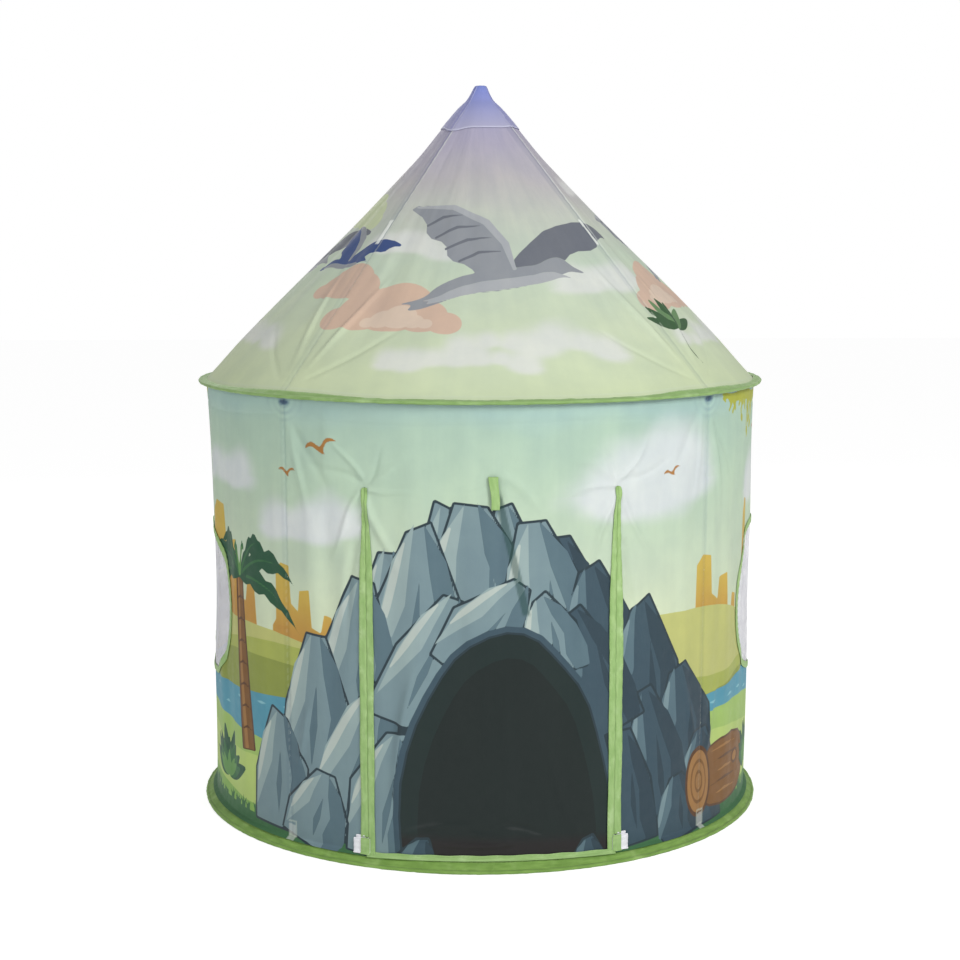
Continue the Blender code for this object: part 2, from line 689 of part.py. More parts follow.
def door(hinge):
    """The door's cloth, cut down to leave room for both bindings, and the tape round its free edges."""
    room = 2 * WRAP + DOOR_CLEARANCE
    edge = DOOR_HALF_ANGLE - arc_degrees(room)
    foot = WALL_FOOT_HEIGHT + WRAP + DOOR_CLEARANCE
    inner = [azimuth for azimuth in panel_azimuths(0, WALL_COLUMNS) if abs(azimuth) < edge]
    azimuths = with_stops(inner, (-edge, edge), arc_degrees(BINDING_WIDTH))
    heights = with_stops(
        [height for height in wall_levels() if foot < height < DOOR_TOP], (foot, DOOR_TOP), BINDING_WIDTH
    )
    flap = sheet("door_flap", azimuths, heights, wall_point, CLOTH, "printed_cloth")
    hang_on(flap, hinge)

    top = DOOR_TOP - GAP
    sides = [height for height in heights if foot < height < DOOR_TOP]
    stops = [(-edge, top, (-1.0, 0.0))]
    stops += [(-edge, height, (-1.0, 0.0)) for height in reversed(sides)]
    stops += [(-edge, foot, (-1.0, -1.0))]
    stops += [(azimuth, foot, (0.0, -1.0)) for azimuth in azimuths[1:-1]]
    stops += [(edge, foot, (1.0, -1.0))]
    stops += [(edge, height, (1.0, 0.0)) for height in sides]
    stops += [(edge, top, (1.0, 0.0))]
    bound_edge("door_binding", stops, parent=hinge)
    return edge


def slab(name, azimuths, heights, inner, outer, look, parent=None):
    """A small flat piece that lies over the wall between two offsets."""
    middle = (inner + outer) / 2

    def place(azimuth, height):
        return wall_point(azimuth, height, middle)

    hang_on(sheet(name, azimuths, heights, place, outer - inner, look), parent)


def closing_tabs(edge, hinge):
    """A hook tab on each lower corner of the door and the loop patch it presses on."""
    heights = [TAB_FOOT, TAB_FOOT + TAB_HEIGHT]
    patch_face = CLOTH / 2 + GAP
    patch_back = patch_face + TAPE
    tab_face = patch_back + GAP
    tab_back = tab_face + TAPE
    for side, sign in (("left", -1), ("right", 1)):
        root = edge + arc_degrees(WRAP - TAB_LAP)
        tip = root + arc_degrees(TAB_LAP + DOOR_CLEARANCE + WRAP + TAB_WIDTH)
        axis = pivot(f"{side}_tab_axis", wall_point(sign * root, TAB_FOOT, tab_back))
        hang_on(axis, hinge)
        across = sorted((sign * root, sign * tip))
        slab(f"{side}_tab", across, heights, tab_face, tab_back, "white_tape", parent=axis)
        near = DOOR_HALF_ANGLE + arc_degrees(PATCH_INSET)
        across = sorted((sign * near, sign * tip))
        raised = [TAB_FOOT, TAB_FOOT + TAB_HEIGHT + PATCH_RISE]
        slab(f"{side}_patch", across, raised, patch_face, patch_back, "white_tape")


def outer_strap():
    """A ribbon doubled into a flat hanging loop above the door's middle."""
    middle_radius = max(wall_radius(0.0, STRAP_TOP), wall_radius(0.0, STRAP_TOP - STRAP_LENGTH))
    back = middle_radius + CLOTH / 2 + STRAP_STANDOFF
    front = back + 2 * TAPE + STRAP_SLIT
    low = STRAP_TOP - STRAP_LENGTH
    bulge = (front - back) / 2
    outline = [
        (back, STRAP_TOP), (back, low + bulge), (back + bulge, low), (front, low + bulge), (front, STRAP_TOP),
        (front - TAPE, STRAP_TOP), (front - TAPE, low + bulge),
        (back + bulge, low + TAPE), (back + TAPE, low + bulge), (back + TAPE, STRAP_TOP - TAPE),
    ]
    half = STRAP_WIDTH / 2
    rings = [[Vector((x, -radius, height)) for radius, height in outline] for x in (-half, half)]
    axis = pivot("outer_strap_axis", Vector((0.0, -back - bulge, STRAP_TOP)))
    hang_on(loft("outer_strap", rings, "green_tape", smooth_angle=20.0), axis)


def inner_tie():
    """A plain ribbon that hangs inside, behind the door's top."""
    axis = pivot("inner_tie_axis", wall_point(0.0, STRAP_TOP, -CLOTH / 2 - GAP))
    rings = []
    steps = WALL_ROWS
    for step in range(steps + 1):
        share = step / steps
        height = STRAP_TOP - TIE_LENGTH * share
        drift = TIE_SLANT * share
        inset = CLOTH / 2 + GAP + TIE_STANDOFF * smooth_share(share, 0.0, TIE_LEAVE_SHARE)
        left = arc_degrees(drift - TIE_WIDTH / 2)
        right = arc_degrees(drift + TIE_WIDTH / 2)
        corners = ((left, inset), (right, inset), (right, inset + TAPE), (left, inset + TAPE))
        rings.append([wall_point(azimuth, height, -deep) for azimuth, deep in corners])
    hang_on(loft("inner_tie", rings, "green_tape", smooth_angle=20.0), axis)


def doorway():
    hinge = pivot("door_axis", wall_point(0.0, DOOR_TOP, CLOTH / 2))
    slit_bindings()
    edge = door(hinge)
    closing_tabs(edge, hinge)
    outer_strap()
    inner_tie()


def main():
    clear_scene()
    hoops()
    front_wall()
    side_wall("right", 1, WINDOW_AZIMUTH)
    plain_wall("back_wall", 2)
    side_wall("left", 3, 360.0 - WINDOW_AZIMUTH)
    roof()
    apex_cap()
    poles()
    doorway()


main()
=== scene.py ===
"""Kids play tent: the printed cloth, tapes, net and plastic of a round tent with a pointed roof.

Units are metres, +Z is up and the doorway faces -Y. An azimuth is an angle round the tent in degrees: 0 is
the middle of the door and +90 is the +X side. A print is drawn flat: on the wall x is the length round the
tent from the door's middle and y is the height; on the roof x and y lie in the roof's cone unrolled.
"""

import math

import bmesh
import bpy
import numpy as np
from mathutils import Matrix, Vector


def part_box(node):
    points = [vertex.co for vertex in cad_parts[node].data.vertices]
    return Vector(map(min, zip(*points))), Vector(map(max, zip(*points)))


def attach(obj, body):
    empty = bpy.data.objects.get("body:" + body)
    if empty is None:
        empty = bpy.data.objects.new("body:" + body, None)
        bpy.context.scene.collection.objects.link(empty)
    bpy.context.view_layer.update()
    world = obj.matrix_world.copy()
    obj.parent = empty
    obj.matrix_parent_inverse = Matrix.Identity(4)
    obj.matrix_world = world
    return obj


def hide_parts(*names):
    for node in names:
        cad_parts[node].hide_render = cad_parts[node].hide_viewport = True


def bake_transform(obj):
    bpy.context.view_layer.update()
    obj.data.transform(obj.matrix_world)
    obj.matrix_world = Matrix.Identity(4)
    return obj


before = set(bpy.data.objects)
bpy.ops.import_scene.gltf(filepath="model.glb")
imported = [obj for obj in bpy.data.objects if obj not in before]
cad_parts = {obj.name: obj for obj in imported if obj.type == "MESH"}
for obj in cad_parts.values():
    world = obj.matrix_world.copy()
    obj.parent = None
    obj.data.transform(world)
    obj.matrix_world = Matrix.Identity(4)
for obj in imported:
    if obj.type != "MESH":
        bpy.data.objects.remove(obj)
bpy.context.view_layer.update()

# The tent's form
HOOP_RADIUS = 0.5213
HOOP_HEIGHT = 0.785
GROUND_HOOP_RADIUS = 0.5230
PEAK_HEIGHT = 1.3225
FERRULE_SLANT = 0.3655       # where a roof pole's ferrule lies up the slope
WALL_TOP_RADIUS = 0.5105
WALL_FOOT_RADIUS = 0.5050
WALL_FOOT = 0.0164
WALL_TOP = 0.7899
WAIST_DEPTH = 0.0075
POLE_TURN = 2.5
QUARTERS = 4
QUARTER = 360.0 / QUARTERS
BRIM_WIDTH = 0.0150
BRIM_LEAN = math.radians(32.0)
RIM_RADIUS = HOOP_RADIUS - BRIM_WIDTH * math.cos(BRIM_LEAN)
RIM_HEIGHT = HOOP_HEIGHT + BRIM_WIDTH * math.sin(BRIM_LEAN)
ROOF_RISE = PEAK_HEIGHT - RIM_HEIGHT
ROOF_SLANT = math.hypot(RIM_RADIUS, ROOF_RISE)
SLOPE = math.atan2(ROOF_RISE, RIM_RADIUS)
SLOPE_COS = math.cos(SLOPE)
SLOPE_SIN = math.sin(SLOPE)
RIM_DIP = 0.0046
LAP_LEAN = math.radians(36.0)
LAP_LIFT = 0.0026
LAP = 0.0066
ROUND = 2 * math.pi * WALL_TOP_RADIUS

# Cloth and tape
CLOTH = 0.0010
TAPE = 0.0008
GAP = 0.0004
FOLD_DEPTH = 0.0046
ROOF_FOLD_DEPTH = 0.0022
ROOF_SAG = 0.0030
PANEL_SAG = 0.0070
FOLD_DRIFT = 1.6
CREASE_GROWTH = 2.20
PUCKER = 0.0003              # of the cloth along a sewn pole line
SEAM_DEPTH = 0.0009
UNDER_BRIM = 0.0170          # how far below its top the wall comes out from under the brim
SEAM_REACH = 0.0030
WALL_CELL = 0.0027
SIDE_CELL = 0.0031
BACK_CELL = 0.0042
ROOF_CELL = 0.0029
FAR_ROOF_CELL = 0.0036
TAPE_CELL = 0.0030

# Doorway
DOOR_HALF = 0.2175
DOOR_HEAD = 0.6422
DOOR_ROOM = 0.0030           # from the wall's slit edge to the door's cloth
DOOR_FOOT = 0.0186
BINDING_FOLD = 0.0012        # how far a binding's fold stands past the cloth's edge
TAB_HEIGHT = 0.0290
TAB_REACH = 0.0250
TAB_LOW = 0.0150
SLIT_FOOT = 0.0450
TAB_LAP = 0.0035
TAB_WRAP = 0.0112            # how far past the slit a tab's green root reaches
PATCH_RISE = 0.0050
PATCH_INSET = 0.0030
PATCH_CORNER = 0.0014
PATCH_CELL = 0.0010
BINDING_ROWS = 15
BINDING_TOP = 0.0006         # how far below the door's head the bindings end
SLIT_TAPE_WIDTH = 0.0116
DOOR_TAPE_WIDTH = 0.0112
STRAP_TOP = 0.6640
STRAP_DROP = 0.0540
STRAP_FOLD = 0.0028          # from the strap's back layer to its front one
STRAP_WIDTH = 0.0160
STRAP_ROOM = 0.0016          # from the wall's cloth to the strap's back layer
TIE_WIDTH = 0.0130
TIE_ROOM = 0.0060            # how much further from the wall the tie hangs below its seam
TIE_DROP = 0.2350
TIE_DRIFT = 0.0580           # how far the tie leans aside over its length

# Side windows
WINDOW_RADIUS = 0.1400
WINDOW_HEIGHT = 0.3900
WINDOW_AZIMUTH = 80.0
WINDOW_TAPE_HALF = 0.0060
NET_SAG = 0.0012

# Hoops
TUBE_RADIUS = 0.0026         # middle of the sleeve's tape round the wire
LOW_WIRE_HEIGHT = 0.0030
FLOOR_ROOM = 0.0005          # the lower sleeve's tape stays this far above the floor
LAYER_ROOM = 0.00015         # between the middle line of a sleeve and each of its two layers

# Poles and the cloth round them
POLE_INSET = 0.0061          # from the cloth to a pole's middle line
SLEEVE_RADIUS = 0.0049
SLEEVE_ROOM = 0.0004         # how much closer round the pole the gathered cloth lies than its CAD sleeve

CORNERS = ("front_left", "front_right", "back_right", "back_left")
PANELS = ("front", "right", "back", "left")
FAR = 1.0                    # a distance to print that stands for none at all
NOISE_ROWS = 64
NOISE_ROUND = 48             # cells of the wide folds' noise round the tent
FINE = 3                     # how many times as many the finer folds have
# Of each wave of the cloth between the poles: its share, its number round the tent, its turn and its drift
WALL_WAVES = ((0.60, 19, 0.8, 0.0), (0.40, 31, 2.1, FOLD_DRIFT))
ROOF_WAVES = ((0.55, 17, 0.4, 0.0), (0.45, 29, 1.9, 0.0))


# Units of the tables

def metres(*millimetres):
    return [length / 1000 for length in millimetres]


def pairs(scale, *numbers):
    """Points written as plain numbers, x and y in turn, in hundredths of a shape or in millimetres."""
    return [(x / scale, y / scale) for x, y in zip(numbers[::2], numbers[1::2])]


# Surfaces of the wall and the roof

def eased(share):
    return share * share * (3 - 2 * share)


def smooth_share(value, low, high):
    """0 up to low, 1 from high on, and an eased step between them."""
    return eased(np.clip((value - low) / (high - low), 0.0, 1.0))


def plateau(value, start, low, high, end):
    """0 before start and after end, 1 from low to high."""
    return smooth_share(value, start, low) * (1 - smooth_share(value, high, end))


def bell(value, width):
    return np.exp(-((value / width) ** 2))


def within(value, middle, reach):
    return np.abs(value - middle) < reach


def polar(azimuth, radius, height):
    turn = np.radians(azimuth)
    return np.stack([radius * np.sin(turn), -radius * np.cos(turn), height + 0.0 * turn], axis=-1)


def pole_azimuths():
    return [POLE_TURN - QUARTER / 2 + QUARTER * corner for corner in range(QUARTERS)]


def past_pole(azimuth):
    """Degrees past the nearest pole, negative before it."""
    offset = (azimuth - POLE_TURN + QUARTER / 2) % QUARTER
    return np.where(offset > QUARTER / 2, offset - QUARTER, offset)


def from_nearest_pole(azimuth):
    return np.abs(past_pole(azimuth))


def around(azimuth):
    """Length round the wall from the door's middle."""
    return np.radians(azimuth) * WALL_TOP_RADIUS


def degrees_of(length):
    return np.degrees(length / WALL_TOP_RADIUS)


def from_slit(azimuth):
    """Degrees to the nearer slit of the doorway."""
    return np.abs(np.abs((azimuth + 180) % 360 - 180) - degrees_of(DOOR_HALF))


def soft_noise(x, y, seed, wrap=64):
    """Smooth noise from -1 to 1 with one cell for each unit, which repeats after wrap cells of x."""
    table = np.random.default_rng(seed).uniform(-1, 1, (wrap, NOISE_ROWS))
    column = np.floor(x).astype(int)
    row = np.floor(y).astype(int)
    right = eased(x - column)
    up = eased(y - row)

    def on_row(level):
        here = table[column % wrap, level % NOISE_ROWS]
        return here * (1 - right) + table[(column + 1) % wrap, level % NOISE_ROWS] * right

    return on_row(row) * (1 - up) + on_row(row + 1) * up


def crease_fade(along):
    """A crease rises fast at its start and runs out towards its end."""
    return plateau(along, -0.02, 0.12, 0.35, 1.0)


def crease(x, y, start, end, width, depth):
    """A soft ridge along a line, highest in its first half. A negative depth makes a furrow."""
    run = np.array(end) - np.array(start)
    length = math.hypot(*run)
    along = ((x - start[0]) * run[0] + (y - start[1]) * run[1]) / length ** 2
    across = ((x - start[0]) * run[1] - (y - start[1]) * run[0]) / length
    bend = 0.006 * np.sin(np.clip(along, 0.0, 1.0) * 5.0 + start[0] * 40.0)
    return depth * crease_fade(along) * bell(across + bend, width)


# Creases in millimetres: start and end, each sideways from a line and up, then width and depth
POLE_CREASES = (
    (4, 772, 50, 560, 7.5, 3.6), (10, 760, 100, 610, 8, -2.4), (-4, 772, -46, 580, 7, 3.4),
    (-12, 765, -115, 640, 8.5, -2.2), (6, 140, 70, 300, 8, 2.4), (-6, 120, -60, 330, 8.5, 2.2),
)
SLIT_CREASES = (
    (0, 640, 80, 500, 5.5, 2), (0, 645, 130, 690, 5.5, -1.5), (2, 646, 75, 745, 4.2, 2),
    (1, 646, -110, 625, 4.5, 1.6), (-1, 646, -50, 730, 4.2, -1.4), (0, 640, -60, 480, 7, 2.6),
    (0, 650, -100, 700, 8, 1.8), (12, 560, 52, 330, 8, -2.4),
)
DOOR_CREASES = (
    (0, 660, 20, 420, 9, -1.6), (6, 668, 110, 590, 8, 1.6), (-6, 668, -120, 600, 8.5, 1.5),
    (-170, 105, -118, 420, 9, 3.6), (-165, 55, -10, 88, 5.5, 3.2), (-100, 40, 120, 60, 5, 3.6),
    (10, 76, 165, 42, 5.5, -3), (150, 50, 85, 210, 8, 3), (-40, 72, 50, 30, 5, 3),
    (-150, 36, -70, 70, 5, 3.4),
)


def wall_creases():
    """Creases from the poles' tops and feet, from the tops of the slits and across the door."""
    rows = [(float(around(azimuth)), 1, row) for azimuth in pole_azimuths() for row in POLE_CREASES]
    rows += [(side * DOOR_HALF, side, row) for side in (-1, 1) for row in SLIT_CREASES]
    rows += [(0.0, 1, row) for row in DOOR_CREASES]
    found = []
    for x, side, row in rows:
        start_x, start_y, end_x, end_y, width, depth = metres(*row)
        found.append(((x + side * start_x, start_y), (x + side * end_x, end_y), width, depth))
    return found


WALL_CREASES = wall_creases()


def wall_detail(azimuth, height):
    """Small folds of the wall's cloth, out of its CAD surface."""
    x = around(azimuth)
    share = (height - WALL_FOOT) / (WALL_TOP - WALL_FOOT)
    from_pole = from_nearest_pole(azimuth)
    still = np.sin(np.pi * np.clip(share, 0, 1)) ** 0.6
    still = still * smooth_share(from_pole, 0.6, 4.0)
    cells = x / (ROUND / NOISE_ROUND)
    lean = soft_noise(cells, height * 3.0, 11, NOISE_ROUND) * 0.6
    relief = 0.0013 * soft_noise(cells + lean, height * 4.0, 21, NOISE_ROUND)
    relief = relief + 0.0006 * soft_noise(cells * FINE + lean, height * 7.0, 22, FINE * NOISE_ROUND)
    for start, end, width, depth in WALL_CREASES:
        near = x if abs(start[0]) < ROUND / 2 - 0.2 else x % ROUND
        relief = relief + crease(near, height, start, end, width, depth)
    relief = relief - 0.0010 * bell(height - 0.752 - 0.004 * np.sin(x * 9.0), 0.0035)
    beside = bell(from_slit(azimuth), 1.6) * (height < DOOR_HEAD + 0.02)
    relief = relief + 0.0003 * beside * np.sin(height * 260.0 + x * 8.0)
    crumple = soft_noise(x * 38.0, height * 75.0, 41) * smooth_share(0.085 - height, 0.0, 0.05)
    relief = CREASE_GROWTH * relief + 0.0010 * crumple
    return still * relief + PUCKER * bell(from_pole, 1.1) * np.sin(height * 300.0)


def waves(rows, azimuth, share):
    turn = np.radians(azimuth)
    return sum(size * np.sin(count * turn + start + drift * share) for size, count, start, drift in rows)


def wall_radius(azimuth, height):
    share = np.clip((height - WALL_FOOT) / (WALL_TOP - WALL_FOOT), 0.0, 1.0)
    from_pole = from_nearest_pole(azimuth)
    upright = WALL_FOOT_RADIUS + (WALL_TOP_RADIUS - WALL_FOOT_RADIUS) * share
    between_poles = np.cos(2 * np.radians(azimuth - POLE_TURN)) ** 2
    drawn_in = WAIST_DEPTH * between_poles * np.sin(np.pi * share ** 1.3)
    still = smooth_share(from_pole, 2.0, 9.0) * smooth_share(from_slit(azimuth), 3.5, 9.0)
    fold = FOLD_DEPTH * waves(WALL_WAVES, azimuth, share) * still * np.sin(np.pi * share)
    seam = SEAM_DEPTH * bell(from_pole, degrees_of(SEAM_REACH))
    return upright - drawn_in + fold - seam + wall_detail(azimuth, height)


def rim_dip(azimuth):
    """How far the cloth's edges at the brim hang down between the poles."""
    return RIM_DIP * smooth_share(from_nearest_pole(azimuth), 3.0, 22.0)


def wall_place(azimuth, height, offset=0.0):
    """A point of the wall. Below WALL_FOOT the cloth runs out and down over the lower hoop's tape."""
    lap = np.maximum(WALL_FOOT - height, 0.0)
    lift = LAP_LIFT * smooth_share(WALL_FOOT + 0.0040 - height, 0.0, 0.0050)
    height = np.maximum(height, WALL_FOOT)
    radius = wall_radius(azimuth, height) + offset
    hang = rim_dip(azimuth) * smooth_share(height, WALL_TOP * 0.85, WALL_TOP)
    out = (lap + lift) * math.cos(LAP_LEAN)
    return polar(azimuth, radius + out, height - hang - lap * math.sin(LAP_LEAN) + lift)


def door_place(azimuth, height, offset=0.0):
    """A point of the door, which hangs lower at its two corners."""
    corner = (around(azimuth) / DOOR_HALF) ** 2
    drop = (0.0030 + 0.0060 * corner) * (1 - smooth_share(height, DOOR_FOOT, 0.15))
    return wall_place(azimuth, height - drop, offset)


# Of each crease beside a roof pole: where it starts and where it ends, each in degrees past the pole and in
# length up the roof, then its width in degrees and its depth
SLOPE_CREASES = (
    (0.5, 0.020, 13.0, 0.30, 0.9, 0.0030), (-0.5, 0.020, -12.0, 0.34, 0.9, 0.0028),
    (2.0, 0.015, 26.0, 0.18, 1.0, -0.0022), (-2.0, 0.015, -24.0, 0.16, 1.0, -0.0020),
    (30.0, 0.640, 18.0, 0.30, 1.9, 0.0012), (58.0, 0.640, 66.0, 0.22, 2.1, -0.0012),
)


def roof_creases():
    """Creases that fan out from the foot of each roof pole and down from the cap."""
    return [
        ((azimuth + start, low), (azimuth + end, high), width, depth)
        for azimuth in pole_azimuths() for start, low, end, high, width, depth in SLOPE_CREASES
    ]


ROOF_CREASES = roof_creases()


def roof_detail(azimuth, slant):
    """Small folds of the roof's cloth, out of its CAD surface."""
    from_pole = from_nearest_pole(azimuth)
    still = np.sin(np.pi * np.clip(slant / ROOF_SLANT, 0, 1)) ** 0.6
    still = still * smooth_share(from_pole, 0.8, 5.0)
    cell = 360.0 / NOISE_ROUND
    relief = 0.0010 * soft_noise(azimuth / cell, slant * 4.0, 31, NOISE_ROUND)
    relief = relief + 0.0003 * soft_noise(azimuth / (cell / FINE), slant * 7.0, 32, FINE * NOISE_ROUND)
    near = (azimuth + 60.0) % 360.0 - 60.0
    for (start, low), (end, high), width, depth in ROOF_CREASES:
        along = (slant - low) / (high - low)
        middle = start + (end - start) * np.clip(along, 0, 1)
        apart = (near - middle + 180) % 360 - 180
        relief = relief + depth * crease_fade(along) * bell(apart, width)
    width = np.clip((ROOF_SLANT - slant) / 0.50, 0, 1) ** 2
    return CREASE_GROWTH * width * still * relief + PUCKER * bell(from_pole, 1.2) * np.sin(slant * 280.0)


def facet_share(azimuth):
    """How far a flat facet from pole to pole lies in from a round one: none at the poles, 1 midway."""
    corner = math.cos(math.radians(QUARTER / 2))
    from_middle = np.radians(np.maximum(QUARTER / 2 - from_nearest_pole(azimuth), 0.0))
    return (1 - corner / np.cos(from_middle)) / (1 - corner)


def roof_place(azimuth, slant, offset=0.0):
    """A point of the roof, by its azimuth and its length up the slope from the brim."""
    share = np.clip(slant / ROOF_SLANT, 0.0, 1.0)
    from_pole = from_nearest_pole(azimuth)
    hang = np.sin(np.pi * share) ** 0.8
    radius = RIM_RADIUS - slant * SLOPE_COS
    seam = SEAM_DEPTH * bell(from_pole, np.degrees(SEAM_REACH / np.maximum(radius, 0.02)))
    fold = ROOF_FOLD_DEPTH * waves(ROOF_WAVES, azimuth, share) * np.clip((1 - share) / 0.6, 0, 1) ** 2
    still = smooth_share(from_pole, 2.0, 12.0)
    out = offset + still * hang * (fold - ROOF_SAG) + roof_detail(azimuth, slant) - seam
    sag = PANEL_SAG * smooth_share(share, 0.15, 0.60) * (1 - smooth_share(share, 0.74, 0.92))
    out = out - sag * smooth_share(from_pole, 0.6, 3.0) * facet_share(azimuth)
    height = RIM_HEIGHT + slant * SLOPE_SIN + out * SLOPE_COS
    height = height - rim_dip(azimuth) * (1 - smooth_share(slant, 0.0, 0.10))
    return polar(azimuth, radius + out * SLOPE_SIN, height)


# Mesh building

def new_grid(name, columns, rows, half):
    mesh = bpy.data.meshes.new(name)
    bm = bmesh.new()
    bmesh.ops.create_grid(bm, x_segments=columns, y_segments=rows, size=half)
    bm.to_mesh(mesh)
    bm.free()
    return mesh


def new_object(name, data):
    made = bpy.data.objects.new(name, data)
    bpy.context.scene.collection.objects.link(made)
    return made


def grid_piece(name, across, up, place, keep=None, closed=False):
    """A grid laid on a surface: across and up are its columns' and rows' values, place gives the points.

    The mesh keeps the two values of each point as "first" and "second". Each maker writes the UV map.
    """
    columns = len(across) - 1
    rows = len(up) - 1
    mesh = new_grid(name, columns, rows, 1.0)
    flat = np.zeros(len(mesh.vertices) * 3)
    mesh.vertices.foreach_get("co", flat)
    flat = flat.reshape(-1, 3)
    first = np.asarray(across, float)[whole((flat[:, 0] + 1) / 2 * columns)]
    second = np.asarray(up, float)[whole((flat[:, 1] + 1) / 2 * rows)]
    write_floats(mesh, "first", first)
    write_floats(mesh, "second", second)
    mesh.vertices.foreach_set("co", place(first, second).ravel())
    if keep is not None or closed:
        trim(mesh, first, second, keep, closed)
    piece = new_object(name, mesh)
    mesh.shade_smooth()
    face_outwards(mesh)
    return piece


def whole(values):
    return np.rint(values).astype(int)


def grid_values(mesh):
    """The column's and the row's value at each point of a grid."""
    return read_floats(mesh, "first"), read_floats(mesh, "second")


def trim(mesh, first, second, keep, closed):
    """Removes the faces that keep refuses, and joins the two ends of a closed grid."""
    bm = bmesh.new()
    bm.from_mesh(mesh)
    if keep is not None:
        wanted = keep(first, second)
        bm.verts.ensure_lookup_table()
        unwanted = [face for face in bm.faces if not all(wanted[vert.index] for vert in face.verts)]
        bmesh.ops.delete(bm, geom=unwanted, context="FACES")
    if closed:
        bmesh.ops.remove_doubles(bm, verts=bm.verts, dist=1e-5)
    bm.to_mesh(mesh)
    bm.free()


def face_outwards(mesh):
    """Turns the faces of an open sheet away from the tent's middle line, or up where they lie flat."""
    mesh.update()
    count = len(mesh.polygons)
    normal = np.zeros(count * 3)
    centre = np.zeros(count * 3)
    mesh.polygons.foreach_get("normal", normal)
    mesh.polygons.foreach_get("center", centre)
    normal = normal.reshape(-1, 3)
    centre = centre.reshape(-1, 3)
    if (normal[:, :2] * centre[:, :2]).sum() + normal[:, 2].sum() * HOOP_RADIUS < 0:
        mesh.flip_normals()


def write_floats(mesh, name, values):
    found = mesh.attributes.get(name) or mesh.attributes.new(name, "FLOAT", "POINT")
    found.data.foreach_set("value", np.ascontiguousarray(values, dtype=np.float32))


def read_floats(mesh, name):
    values = np.zeros(len(mesh.vertices), np.float32)
    mesh.attributes[name].data.foreach_get("value", values)
    return values.astype(float)


def write_uv(mesh, across, up):
    layer = mesh.uv_layers.get("Cloth") or mesh.uv_layers.new(name="Cloth")
    corner = np.zeros(len(mesh.loops), np.int32)
    mesh.loops.foreach_get("vertex_index", corner)
    spots = np.stack([across[corner], up[corner]], axis=-1)
    layer.data.foreach_set("uv", np.ascontiguousarray(spots.ravel(), dtype=np.float32))


def even(low, high, cell):
    """Evenly spread values from low to high, about a cell apart."""
    return np.linspace(low, high, max(2, int(round(abs(high - low) / cell)) + 1))


def joined(*runs):
    """Runs of values end to end, each shared end once."""
    return np.concatenate([runs[0]] + [run[1:] for run in runs[1:]])


def cloth_area(piece):
    """Area of a piece's faces, one layer."""
    areas = np.zeros(len(piece.data.polygons))
    piece.data.polygons.foreach_get("area", areas)
    return float(areas.sum())


def running_length(*paths):
    """Length run at each stop of a line that is given by its coordinates."""
    steps = np.sqrt(sum(np.diff(path) ** 2 for path in paths))
    return np.concatenate([[0.0], np.cumsum(steps)])


TAPE_PITCH = 0.0046          # from stitch to stitch of a binding
SEAM_PITCH = 0.0040


def dashes(length, pitch, gap=-0.1):
    """Where the thread of a stitch row shows. A higher gap makes its dashes shorter."""
    return np.sin(length * 2 * math.pi / pitch) > gap


def sew(piece, thread):
    """Stitches: how much of the thread's colour each point of the piece shows."""
    write_floats(piece.data, "stitch", thread)


def thicken(piece, thickness):
    made = piece.modifiers.new("Thickness", "SOLIDIFY")
    made.thickness = thickness
    made.offset = 0.0


# Drawing the print

PRINT_MARGIN = 0.012         # how far round an outline its distance is worked out
PRINT_REACH = 0.05           # the largest distance that the mesh keeps


def polygon_distance(points, x, y):
    """Distance to an outline, negative inside it."""
    nearest = np.full(x.shape, FAR)
    inside = np.zeros(x.shape, bool)
    for (ax, ay), (bx, by) in zip(points, points[1:] + points[:1]):
        run_x, run_y = bx - ax, by - ay
        length = run_x * run_x + run_y * run_y
        if length < 1e-14:
            continue
        along = np.clip(((x - ax) * run_x + (y - ay) * run_y) / length, 0.0, 1.0)
        nearest = np.minimum(nearest, (x - ax - along * run_x) ** 2 + (y - ay - along * run_y) ** 2)
        if ay != by:
            crosses = (ay > y) != (by > y)
            inside ^= crosses & (x < ax + (y - ay) * run_x / run_y)
    nearest = np.sqrt(nearest)
    return np.where(inside, -nearest, nearest)


def softened(points, passes=2):
    """An outline with its corners cut, again and again, until it runs in curves."""
    for _ in range(passes):
        points = [
            (ax * (1 - share) + bx * share, ay * (1 - share) + by * share)
            for (ax, ay), (bx, by) in zip(points, points[1:] + points[:1])
            for share in (0.25, 0.75)
        ]
    return points


def placed(shares, x, y, width, height, turn=0.0):
    """An outline given in shares of a width and a height, turned by degrees and put in its place."""
    cosine, sine = math.cos(math.radians(turn)), math.sin(math.radians(turn))
    return [
        (x + sx * width * cosine - sy * height * sine, y + sx * width * sine + sy * height * cosine)
        for sx, sy in shares
    ]


def stroke(points, widths):
    """The outline of a line of changing width."""
    left, right = [], []
    for here, (x, y) in enumerate(points):
        before = points[max(here - 1, 0)]
        after = points[min(here + 1, len(points) - 1)]
        run = math.hypot(after[0] - before[0], after[1] - before[1]) or 1.0
        side_x, side_y = -(after[1] - before[1]) / run, (after[0] - before[0]) / run
        half = widths[here] / 2
        left.append((x + side_x * half, y + side_y * half))
        right.append((x - side_x * half, y - side_y * half))
    return left + right[::-1]


